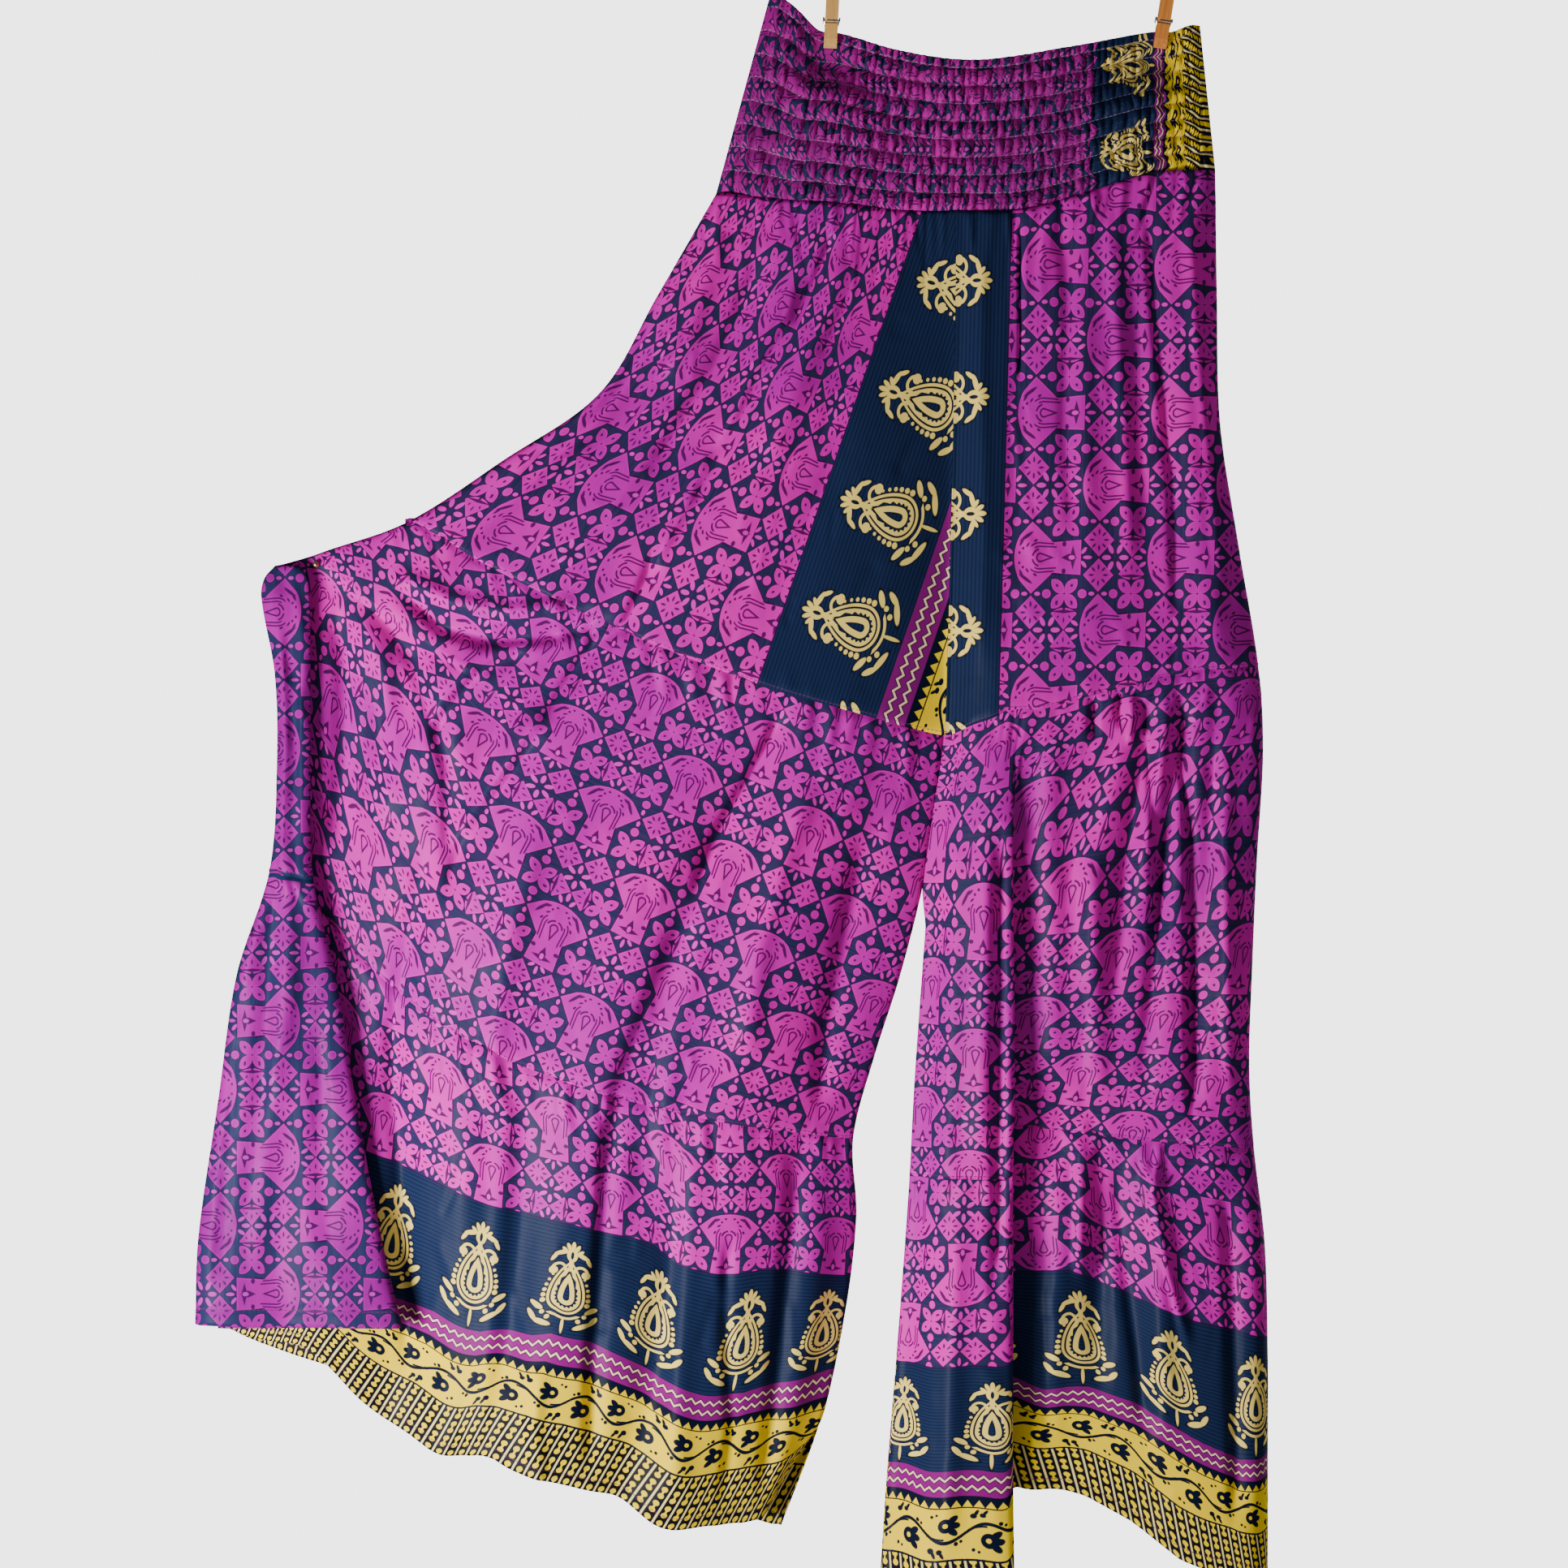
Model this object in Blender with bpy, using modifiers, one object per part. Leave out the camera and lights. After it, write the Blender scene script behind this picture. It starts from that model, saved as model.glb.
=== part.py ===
"""Tiered palazzo pants that hang from two wooden pegs, with one leg swept out and pinned.

The cloth is a wall of even thickness. Each sewn panel is a sheet whose points come from a row of
sections, from the waist seam down to the hem, and from a short list of folds. All table sizes are
millimetres: x to the right of the pegs' middle, z up from the pegs' tops, y away from the viewer.
"""

import math
from collections import namedtuple

import bpy
from mathutils import Matrix, Vector

MM = 0.001
WALL = 1.6
SEAM_GAP = 0.45
STEEP_SEAM = 1.5
SIDE_GAP = 0.25
LEG_GAP = 0.3

TIER_1_END = 333.0
TIER_2_END = 623.0
TIER_3_END = 898.0
PIN_DOWN = 420.0

HIP_STEPS = 8
MID_STEPS = 8
HEM_STEPS = 7
BAND_STEPS = 12

CENTRE_SEAM_TOP = 17.0
CENTRE_SEAM_FOOT = 8.0
EDGE_ROUND = 8.0
EDGE_REACH = 6.0
RIGHT_HEM_ARCH = 7.0

# How far the back layers' hems hang above the front ones, at the inseams and at the outer edge.
LEFT_HEM_LIFT = 4.0
RIGHT_HEM_LIFT = 10.0
OUTER_HEM_LIFT = 5.0

MAGENTA = (0.50, 0.05, 0.40, 1.0)
PURPLE = (0.28, 0.04, 0.22, 1.0)
WOOD = (0.72, 0.52, 0.32, 1.0)
STEEL = (0.55, 0.56, 0.58, 1.0)
BRASS = (0.70, 0.50, 0.22, 1.0)

# One row for each section of the left leg. down is the cloth's length below the waist seam. inner is
# the centre seam or inseam, edge the far edge of the front panel, sag how far the section hangs
# below a straight line and sag_at where. front is how far the face stands out, layer how far it
# does beside its far edge, and tip is the depth of that edge itself. under is how much of the
# section's far end lies under the side panel.
LeftRow = namedtuple(
    "LeftRow", "down inner_x inner_z edge_x edge_z sag sag_at front layer tip under"
)
LEFT_ROWS = (
    LeftRow(0, -31, -158, -187, -146, 2, 0.50, 19, 14, -0.2, 0.00),
    LeftRow(83, -32, -243, -225, -212, 7, 0.50, 25, 15, -0.2, 0.00),
    LeftRow(166, -34, -328, -263, -276, 13, 0.48, 30, 14, -0.2, 0.00),
    LeftRow(250, -36, -413, -326, -320, 15, 0.46, 34, 13, -0.2, 0.00),
    LeftRow(333, -39, -499, -390, -361, 16, 0.45, 36, 12, -0.2, 0.00),
    LeftRow(391, -46, -554, -444, -380, 26, 0.50, 34, 9, -0.2, 0.02),
    LeftRow(420, -51, -585, -464, -389, 31, 0.53, 34, 7, -10.5, 0.05),
    LeftRow(440, -54, -604, -471, -401, 34, 0.56, 34, 9, -13.0, 0.06),
    LeftRow(498, -68, -658, -470, -462, 40, 0.60, 37, 11, -14.8, 0.08),
    LeftRow(559, -84, -708, -470, -528, 46, 0.62, 39, 12, -15.8, 0.09),
    LeftRow(623, -98, -762, -470, -594, 49, 0.64, 38, 12, -15.8, 0.10),
    LeftRow(684, -96, -814, -477, -657, 48, 0.64, 37, 12, -15.8, 0.14),
    LeftRow(760, -104, -880, -487, -737, 40, 0.62, 38, 12, -15.8, 0.20),
    LeftRow(846, -121, -955, -498, -827, 30, 0.60, 40, 12, -15.8, 0.27),
    LeftRow(898, -145, -1019, -511, -885, 24, 0.58, 42, 12, -15.8, 0.33),
)

# The side panel turns forward from the front panel's hidden edge, comes back over it as a flap and
# runs round to the back. lap is the flap's free fold, rim the leg's outline, face the flap's depth.
SideRow = namedtuple("SideRow", "down lap_x lap_z rim_x rim_z face rim_y")
SIDE_ROWS = (
    SideRow(420, -459, -389, -474, -389, 18.5, -10.3),
    SideRow(430, -454, -396, -481, -397, 20, -10),
    SideRow(446, -452, -409, -483, -410, 22, -9.5),
    SideRow(498, -451, -463, -474, -462, 26, -8),
    SideRow(559, -451, -527, -473, -525, 28, -8),
    SideRow(623, -449, -593, -478, -589, 29, -8),
    SideRow(684, -434, -658, -499, -655, 30, -7),
    SideRow(760, -421, -739, -511, -736, 31, -6),
    SideRow(846, -404, -829, -524, -826, 32, -6),
    SideRow(898, -391, -884, -526, -882, 33, -6),
)

# One row for each section of the right leg. pleat is the forward pleat's free edge, valley the
# start of the sunken face behind it, ridge where the face comes forward again. step is how far the
# valley lies behind the pleat, and tuck how far it runs in under it.
RightRow = namedtuple(
    "RightRow",
    "down inner_x inner_z pleat_x pleat_z valley_z ridge_x ridge_z outer_x outer_z"
    " front step tuck ridge",
)
RIGHT_ROWS = (
    RightRow(0, -31, -158, 10, -158, -158, 108, -132, 138, -131, 19, 0, -12, 17),
    RightRow(83, -32, -243, 10, -242, -242, 108, -223, 139, -213, 22, 0, -12, 21),
    RightRow(166, -34, -328, 8, -324, -324, 116, -308, 141, -295, 25, 0, -12, 23),
    RightRow(250, -36, -413, 7, -405, -405, 119, -385, 153, -375, 28, 0, -12, 25),
    RightRow(333, -37, -499, 6, -483, -483, 120, -458, 166, -455, 30, 0, -12, 27),
    RightRow(391, -43, -549, 5, -541, -537, 120, -517, 169, -512, 34, 8, 0, 27),
    RightRow(437, -49, -607, 5, -607, -597, 120, -581, 165, -581, 36, 13, 6, 27),
    RightRow(498, -54, -671, 6, -674, -656, 121, -650, 162, -650, 37, 15, 12, 28),
    RightRow(559, -58, -729, 6, -732, -704, 116, -708, 160, -713, 38, 17, 16, 29),
    RightRow(623, -61, -787, 5, -787, -752, 108, -764, 163, -768, 38, 18, 19, 29),
    RightRow(684, -65, -846, 5, -846, -803, 114, -822, 170, -830, 39, 19, 20, 30),
    RightRow(760, -70, -915, 5, -915, -864, 120, -894, 172, -902, 40, 20, 20, 31),
    RightRow(846, -76, -994, 5, -997, -930, 125, -968, 172, -973, 41, 21, 20, 32),
    RightRow(898, -81, -1071, 6, -1073, -986, 127, -1039, 172, -1046, 42, 22, 20, 33),
)

# The backs lie almost flat. lift raises the middle of a section above the line between its ends.
BackRow = namedtuple("BackRow", "down depth lift lift_at")
LEFT_BACK_ROWS = (
    BackRow(0, 17, -1, 0.5),
    BackRow(333, 16, -8, 0.5),
    BackRow(623, 16, -24, 0.4),
    BackRow(898, 17, -5, 0.3),
)
RIGHT_BACK_ROWS = (
    BackRow(0, 17, 0, 0.5),
    BackRow(333, 16, 8, 0.5),
    BackRow(623, 16, 10, 0.5),
    BackRow(898, 17, 66, 0.42),
)

# A fold is a soft ridge, or a trough where depth is negative. at_top and at_foot are places across
# the panel, start and end lengths below the waist seam, width half its breadth across, drop how far
# it pulls the cloth's lower edge down, and held says that it runs out at full depth over its end.
Fold = namedtuple("Fold", "at_top at_foot start end width depth drop held")
LEFT_FOLDS = (
    Fold(0.93, 0.86, 60, 420, 0.030, -9, 0, False),
    Fold(0.80, 0.74, 40, 400, 0.060, 4, 0, False),
    Fold(0.60, 0.66, 30, 333, 0.050, -4, 0, False),
    Fold(0.42, 0.52, 60, 333, 0.060, 4, 0, False),
    Fold(0.30, 0.36, 120, 345, 0.040, -4, 0, False),
    Fold(0.56, 0.69, 300, 560, 0.034, -9, 0, False),
    Fold(0.48, 0.62, 300, 620, 0.060, 5, 0, False),
    Fold(0.70, 0.76, 370, 540, 0.030, 6, 0, False),
    Fold(0.76, 0.83, 350, 560, 0.034, -6, 0, False),
    Fold(0.28, 0.36, 335, 800, 0.030, -8, 0, False),
    Fold(0.36, 0.46, 350, 900, 0.060, 5, 4, True),
    Fold(0.18, 0.22, 335, 900, 0.055, 5, 9, True),
    Fold(0.10, 0.09, 335, 640, 0.035, -4, 0, False),
    Fold(0.54, 0.53, 600, 900, 0.045, -6, -4, True),
    Fold(0.62, 0.60, 600, 900, 0.045, 5, 5, True),
    Fold(0.28, 0.30, 640, 900, 0.035, -7, -3, True),
    Fold(0.07, 0.06, 640, 900, 0.035, 4, 3, True),
    Fold(0.72, 0.70, 640, 900, 0.040, -4, 0, True),
    Fold(0.84, 0.83, 700, 900, 0.080, 3, -21, True),
)
SIDE_FOLDS = (
    Fold(0.62, 0.58, 434, 900, 0.050, 2.5, 0, True),
    Fold(0.80, 0.84, 560, 900, 0.045, 3.5, 0, True),
    Fold(0.71, 0.72, 600, 900, 0.035, -3, 0, True),
)
RIGHT_FOLDS = (
    Fold(0.24, 0.22, 30, 333, 0.045, -3, 0, False),
    Fold(0.44, 0.46, 20, 333, 0.050, 4, 0, False),
    Fold(0.62, 0.64, 20, 320, 0.045, -5, 0, False),
    Fold(0.80, 0.82, 60, 420, 0.045, 4, 0, False),
    Fold(0.62, 0.63, 330, 560, 0.020, -6, 0, False),
    Fold(0.67, 0.67, 330, 470, 0.018, 5, 0, False),
    Fold(0.71, 0.72, 330, 620, 0.020, -7, 0, False),
    Fold(0.56, 0.55, 330, 600, 0.030, 4, 0, False),
    Fold(0.81, 0.83, 300, 640, 0.028, -6, 0, False),
    Fold(0.10, 0.11, 335, 900, 0.040, 4, 3, True),
    Fold(0.55, 0.54, 620, 900, 0.035, 6, 3, True),
    Fold(0.62, 0.64, 620, 860, 0.024, -7, 0, False),
    Fold(0.72, 0.77, 620, 880, 0.022, 6, 0, False),
    Fold(0.93, 0.93, 620, 900, 0.035, 4, 2, True),
)
BACK_FOLDS = (
    Fold(0.20, 0.18, 40, 620, 0.050, 3, 0, False),
    Fold(0.36, 0.40, 30, 900, 0.050, -3, 2, True),
    Fold(0.55, 0.56, 200, 900, 0.060, 4, 3, True),
    Fold(0.70, 0.74, 30, 900, 0.045, -3, -2, True),
    Fold(0.86, 0.88, 340, 900, 0.045, 3, 2, True),
)

# One row for each place across the waistband: its top edge and the seam below it, and how far each
# layer stands from the middle at the top and at the seam. The pegs close the two layers together.
BandRow = namedtuple("BandRow", "seam_x seam_z top_x top_z top_depth seam_depth")
BAND_ROWS = (
    BandRow(-187, -146, -152, -17, 0, 0),
    BandRow(-156, -149, -133, -27, 5, 13),
    BandRow(-141, -151, -120, -39, 1.25, 16),
    BandRow(-126, -152, -106, -41, 1.25, 17),
    BandRow(-72, -157, -67, -53, 8, 17),
    BandRow(-31, -158, -19, -59, 9, 17),
    BandRow(14, -157, 45, -50, 8, 17),
    BandRow(83, -137, 98, -40, 1.25, 17),
    BandRow(97, -133, 110, -40, 1.25, 14),
    BandRow(138, -131, 128, -36, 0, 0),
)
BAND_RIBS = 23
BAND_STITCH_ROWS = 6
RIB_HEIGHT = 1.2
PINCH_LENGTH = 17.0
PINCH_FADE = 50.0

# The two pegs: the tip of each, and how far each leans to the right in degrees.
Peg = namedtuple("Peg", "side tip_x tip_z lean")
PEGS = (Peg("left", -113, -51, 3.0), Peg("right", 102, -51, 9.0))
PEG_LENGTH = 50.0
PEG_WIDTH = 8.6
PEG_THICK = 4.4
PEG_NEAR = 2.4
SPRING_UP = 17.5
SPRING_RADIUS = 2.7
SPRING_WIRE = 1.2
SPRING_TURNS = 4
SPRING_STEPS = 8
SPRING_SIDE = 5.3

PIN_X = -448.0
PIN_Z = -388.0
PIN_RADIUS = 2.1
PIN_CLEAR = 0.7


def smooth(low, high, value):
    """Return a soft step from 0 at low to 1 at high."""
    t = min(1.0, max(0.0, (value - low) / (high - low)))
    return t * t * (3.0 - 2.0 * t)


def bump(across, peak):
    """Return a half wave across the panel that is 1 at peak and 0 at both ends."""
    half = 0.5 * across / peak if across < peak else 0.5 + 0.5 * (across - peak) / (1.0 - peak)
    return math.sin(math.pi * half)


def hermite(start, end, out, into, t):
    """Return the point at t of a cubic curve with the given ends and end slopes."""
    return (
        (2 * t**3 - 3 * t**2 + 1) * start
        + (t**3 - 2 * t**2 + t) * out
        + (3 * t**2 - 2 * t**3) * end
        + (t**3 - t**2) * into
    )


def row_at(rows, key):
    """Blend a table's rows with a smooth curve through them, at a value of the first column."""
    keys = [row[0] for row in rows]
    key = min(max(key, keys[0]), keys[-1])
    last = len(rows) - 1
    i = next(n for n in range(last) if key <= keys[n + 1])
    span = keys[i + 1] - keys[i]

    def slope(column, n):
        low, high = max(n - 1, 0), min(n + 1, last)
        return span * (rows[high][column] - rows[low][column]) / (keys[high] - keys[low])

    values = [
        hermite(rows[i][c], rows[i + 1][c], slope(c, i), slope(c, i + 1), (key - keys[i]) / span)
        for c in range(1, len(rows[0]))
    ]
    return type(rows[0])(key, *values)


def section(corners, counts):
    """Run a smooth curve through the corners, with counts steps between each pair of them."""
    points = [Vector(c) for c in corners]
    padded = [2 * points[0] - points[1]] + points + [2 * points[-1] - points[-2]]
    curve = [points[0]]
    for a, b, c, d, count in zip(padded, padded[1:], padded[2:], padded[3:], counts):
        ab, bc, cd = (max(1e-3, (q - p).length) ** 0.5 for p, q in ((a, b), (b, c), (c, d)))
        out = bc * ((b - a) / ab - (c - a) / (ab + bc) + (c - b) / bc)
        into = bc * ((c - b) / bc - (d - b) / (bc + cd) + (d - c) / cd)
        curve.extend(hermite(b, c, out, into, (n + 1) / count) for n in range(count))
    return curve


def folded(points, down, folds, outward):
    """Move a section's points in and out by the folds that pass it, and down by their drop."""
    reach = [0.0]
    for p, q in zip(points, points[1:]):
        reach.append(reach[-1] + (q - p).length)
    for point, along in zip(points, reach):
        across = along / reach[-1]
        for fold in folds:
            run = (down - fold.start) / (fold.end - fold.start)
            if not 0.0 < run < 1.0:
                continue
            centre = fold.at_top + (fold.at_foot - fold.at_top) * run
            near = math.exp(-(((across - centre) / fold.width) ** 2))
            life = smooth(0.0, 0.3, run) * (1.0 if fold.held else smooth(1.0, 0.6, run))
            free = smooth(0.02, 0.07, across) * smooth(0.98, 0.93, across)
            point.y += outward * fold.depth * near * life * free
            point.z -= fold.drop * near * free * smooth(0.4, 1.0, run)
    return points


def edge_turn(x, z, depth, tip, side):
    """Return the corners that turn a layer's end to lie along y, ending at the depth tip."""
    reach = tip + depth
    return [
        (x + side * EDGE_REACH, -depth, z),
        (x + side * 1.4, -depth + 0.35 * reach, z),
        (x, -depth + 0.7 * reach, z),
        (x, tip, z),
    ]


def centre_depth(down):
    """Return how far the hips stand from the middle at the centre seam."""
    return CENTRE_SEAM_TOP + (CENTRE_SEAM_FOOT - CENTRE_SEAM_TOP) * down / TIER_1_END


def inner_start(row, down, outward, side):
    """Return the first corners of a section: flat at the centre seam, turned at the inseam."""
    if down < TIER_1_END:
        y = outward * centre_depth(down)
        x = row.inner_x + side * SEAM_GAP / 2.0
        return [(x, y, row.inner_z), (x + side * 3.0, y, row.inner_z)]
    turn = edge_turn(row.inner_x + side * LEG_GAP, row.inner_z, EDGE_ROUND, -SIDE_GAP, side)
    return [(x, -outward * y, z) for x, y, z in reversed(turn)]


def seam_height(x):
    """Return the height of the waist seam at a place x."""
    return row_at(BAND_ROWS, x).seam_z


def left_front(down, fine=1):
    """Return a section of the left front, from the centre seam or inseam to its far edge."""
    row = row_at(LEFT_ROWS, down)

    def at(across, depth):
        x = row.inner_x + (row.edge_x - row.inner_x) * across
        z = row.inner_z + (row.edge_z - row.inner_z) * across - row.sag * bump(across, row.sag_at)
        return (x, -depth, z)

    corners = inner_start(row, down, -1.0, -1.0)
    counts = [1] * (len(corners) - 1) + [3]
    for across in (0.14, 0.32, 0.5, 0.68, 0.84):
        depth = row.front * math.sin(math.pi * (0.12 + 0.80 * across)) ** 0.8
        flat = smooth(row.under + 0.22, row.under + 0.02, 1.0 - across) if row.under > 0.04 else 0.0
        corners.append(at(across, depth + (row.layer - depth) * flat))
        counts.append(5)
    counts[-1] = 3
    corners += edge_turn(row.edge_x, row.edge_z, row.layer, row.tip, 1.0)
    counts += [1, 1, 1]
    return folded(section(corners, [n * fine for n in counts]), down, LEFT_FOLDS, -1.0)


def left_side(down, fine=1):
    """Return a section of the side panel: the hidden fold, the flap's face and the outline."""
    front = row_at(LEFT_ROWS, down)
    row = row_at(SIDE_ROWS, down)
    inner = 2.0 * -front.tip - front.layer
    turn = (row.face - inner) / 2.0
    start = edge_turn(front.edge_x, front.edge_z, inner, front.tip - 3.0 * SIDE_GAP, 1.0)
    corners = list(reversed(start))
    corners += [
        ((front.edge_x + row.lap_x) / 2.0, -inner, (front.edge_z + row.lap_z) / 2.0),
        (row.lap_x - 4.0, -inner, row.lap_z),
        (row.lap_x, -inner - turn, row.lap_z),
        (row.lap_x - 4.0, -row.face, row.lap_z),
    ]
    for across in (0.4, 0.75):
        x = row.lap_x + (row.rim_x - row.lap_x) * across
        z = row.lap_z + (row.rim_z - row.lap_z) * across
        corners.append((x, -row.face, z))
    corners += edge_turn(row.rim_x, row.rim_z, row.face - 1.0, row.rim_y - SIDE_GAP, 1.0)
    counts = [1, 1, 1, 2, 2, 2, 2, 3, 3, 2, 1, 1, 1]
    return folded(section(corners, [n * fine for n in counts]), down, SIDE_FOLDS, -1.0)


def right_front(down, fine=1):
    """Return a section of the right front: the forward pleat, the valley, the ridge, the edge."""
    row = row_at(RIGHT_ROWS, down)
    back = row.front - row.step
    valley_x = row.pleat_x - row.tuck
    face = row.pleat_x - row.inner_x
    turned = min(1.0, max(-1.0, (row.tuck + 3.0) / 9.0))
    quarter = 0.22 * row.step

    def pleat(across, depth):
        z = row.inner_z + (row.pleat_z - row.inner_z) * across
        return (row.inner_x + face * across, -depth, z)

    def valley(across, depth, arch=0.0):
        x = valley_x + (row.ridge_x - valley_x) * across
        z = row.valley_z + (row.ridge_z - row.valley_z) * across
        return (x, -depth, z + arch)

    arch = RIGHT_HEM_ARCH * smooth(TIER_2_END, TIER_3_END, down)
    rise = row.pleat_z - row.valley_z
    corners = inner_start(row, down, -1.0, 1.0)
    counts = [1] * (len(corners) - 1)
    corners += [
        pleat(0.35, centre_depth(min(down, TIER_1_END)) * 0.3 + row.front * 0.7),
        pleat(0.70, row.front),
        (row.pleat_x - 4.0, -row.front, row.pleat_z),
        (row.pleat_x, -row.front + quarter, row.pleat_z - 0.12 * rise),
        (row.pleat_x - 4.0 * turned, -row.front + 2 * quarter, row.pleat_z - 0.30 * rise),
        (valley_x + 4.0 * turned, -back - 2 * quarter, row.valley_z + 0.30 * rise),
        (valley_x, -back - quarter, row.valley_z + 0.12 * rise),
        (valley_x + 4.0, -back, row.valley_z),
        valley(0.34, back, arch),
        valley(0.70, back + (row.ridge - back) * 0.4, arch * 0.5),
        valley(1.0, row.ridge),
        (
            0.5 * (row.ridge_x + row.outer_x),
            -row.ridge * 0.96,
            0.5 * (row.ridge_z + row.outer_z),
        ),
    ]
    counts += [3, 2, 2, 1, 1, 2, 1, 1, 3, 5, 5, 3, 2]
    corners += edge_turn(row.outer_x, row.outer_z, row.ridge * 0.7, -SIDE_GAP, -1.0)
    counts += [1, 1, 1]
    return folded(section(corners, [n * fine for n in counts]), down, RIGHT_FOLDS, -1.0)


def back_section(rows, down, fine, inner, outer):
    """Return a section of a back panel, from its inner corners to its outer ones."""
    row = row_at(rows, down)
    corners = list(inner)
    start, end = Vector(inner[0]), Vector(outer[-1])
    for across in (0.16, 0.34, 0.5, 0.66, 0.84):
        place = start.lerp(end, across)
        corners.append((place.x, row.depth, place.z + row.lift * bump(across, row.lift_at)))
    corners += outer
    counts = [1] * (len(inner) - 1) + [1, 2, 2, 2, 2, 1] + [1] * (len(outer) - 1)
    return folded(section(corners, [n * fine for n in counts]), down, BACK_FOLDS, 1.0)


def raised(corners, height):
    """Return the corners moved up by a height."""
    return [(x, y, z + height) for x, y, z in corners]


def turned_back(x, z, depth, tip, side):
    """Return the corners that turn a back layer's end forward, ending at the depth tip."""
    return [(px, -py, pz) for px, py, pz in edge_turn(x, z, depth, -tip, side)]


def left_back(down, fine=1):
    """Return a section of the left back, from the centre seam or inseam to the outline."""
    front = row_at(LEFT_ROWS, down)
    back = row_at(LEFT_BACK_ROWS, down)
    swept = smooth(PIN_DOWN - 29.0, PIN_DOWN, down)
    side = row_at(SIDE_ROWS, down)
    x = front.edge_x + (side.rim_x - front.edge_x) * swept
    z = front.edge_z + (side.rim_z - front.edge_z) * swept
    tip = side.rim_y + SIDE_GAP if down >= PIN_DOWN else front.tip + 2.0 * SIDE_GAP
    hem = smooth(TIER_2_END, TIER_3_END, down)
    inner = raised(inner_start(front, down, 1.0, -1.0), LEFT_HEM_LIFT * hem)
    outer = turned_back(x, z, back.depth, tip, 1.0)
    return back_section(LEFT_BACK_ROWS, down, fine, inner, outer)


def right_back(down, fine=1):
    """Return a section of the right back, from the centre seam or inseam to the outer edge."""
    front = row_at(RIGHT_ROWS, down)
    back = row_at(RIGHT_BACK_ROWS, down)
    hem = smooth(TIER_2_END, TIER_3_END, down)
    inner = raised(inner_start(front, down, 1.0, 1.0), RIGHT_HEM_LIFT * hem)
    outer_z = front.outer_z + OUTER_HEM_LIFT * hem
    outer = turned_back(front.outer_x, outer_z, back.depth, SIDE_GAP, -1.0)
    return back_section(RIGHT_BACK_ROWS, down, fine, inner, outer)


def band_section(fall, outward, fine=1):
    """Return a section of the waistband, from left to right, at a share of its height."""
    corners = []
    for row in BAND_ROWS[1:-1]:
        x = row.top_x + (row.seam_x - row.top_x) * fall
        z = row.top_z + (row.seam_z - row.top_z) * fall
        below = fall * (row.top_z - row.seam_z)
        loose = smooth(PINCH_LENGTH, PINCH_FADE, below) if row.top_depth < 2.0 else fall
        depth = row.top_depth + (row.seam_depth - row.top_depth) * loose
        corners.append((x, outward * depth, z))
    ends = []
    for row, side in ((BAND_ROWS[0], 1.0), (BAND_ROWS[-1], -1.0)):
        x = row.top_x + (row.seam_x - row.top_x) * fall
        z = row.top_z + (row.seam_z - row.top_z) * fall
        turn = edge_turn(x, z, 5.0 + 6.0 * fall, -SIDE_GAP, side)
        ends.append([(px, -outward * py, pz) for px, py, pz in turn])
    corners = list(reversed(ends[0])) + corners + ends[1]
    counts = [1, 1, 1, 2, 1, 2, 8, 7, 7, 8, 2, 2, 1, 1, 1]
    return section(corners, [n * fine for n in counts])


def puff(share, fall, x, below_top):
    """Return how far the smocking stands out at a place on the band."""
    rib = 0.5 - 0.5 * math.cos(2.0 * math.pi * BAND_RIBS * share)
    row = abs(math.sin(math.pi * BAND_STITCH_ROWS * fall))
    clear = smooth(0.02, 0.06, share) * smooth(0.98, 0.94, share)
    clear *= smooth(0.0, 0.08, fall) * smooth(1.0, 0.94, fall)
    for peg in PEGS:
        clear *= max(smooth(8.0, 14.0, abs(x - peg.tip_x)), smooth(24.0, 30.0, below_top))
    return RIB_HEIGHT * rib * row * clear


def material(name, colour, roughness, metallic=0.0):
    """Return a plain material of the given colour and finish."""
    made = bpy.data.materials.new(name)
    made.use_nodes = True
    shader = made.node_tree.nodes["Principled BSDF"]
    shader.inputs["Base Color"].default_value = colour
    shader.inputs["Roughness"].default_value = roughness
    shader.inputs["Metallic"].default_value = metallic
    made.diffuse_color = colour
    return made


def sheet(name, rows, finish):
    """Make a cloth panel: a flat grid whose points move to the rows' places, then get a wall."""
    across, fall = len(rows[0]) - 1, len(rows) - 1
    bpy.ops.mesh.primitive_grid_add(x_subdivisions=across, y_subdivisions=fall, size=2.0)
    panel = bpy.context.object
    panel.name = name
    panel.data.name = name
    for vertex in panel.data.vertices:
        column = round((vertex.co.x + 1.0) / 2.0 * across)
        row = round((1.0 - vertex.co.y) / 2.0 * fall)
        vertex.co = rows[row][column] * MM
    panel.data.materials.append(finish)
    panel.data.shade_smooth()
    wall = panel.modifiers.new("Wall", "SOLIDIFY")
    wall.thickness = WALL * MM
    wall.offset = 0.0
    return panel


def leg_panel(name, sections, start, end, fall, finish):
    """Make a panel of a leg from its sections between two lengths below the waist seam."""
    first = start + SEAM_GAP / 2.0
    last = end - SEAM_GAP / 2.0 if end < TIER_3_END else end
    downs = [first + (last - first) * n / fall for n in range(fall + 1)]
    rows = [sections(down) for down in downs]
    if start == 0.0:
        lifts = [seam_height(point.x) - SEAM_GAP - point.z for point in rows[0]]
        for row, down in zip(rows, downs):
            for point, lift in zip(row, lifts):
                point.z += lift * smooth(120.0, 0.0, down)
    open_seam(rows[0], -1.0)
    if end < TIER_3_END:
        open_seam(rows[-1], 1.0)
    return sheet(name, rows, finish)


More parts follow.
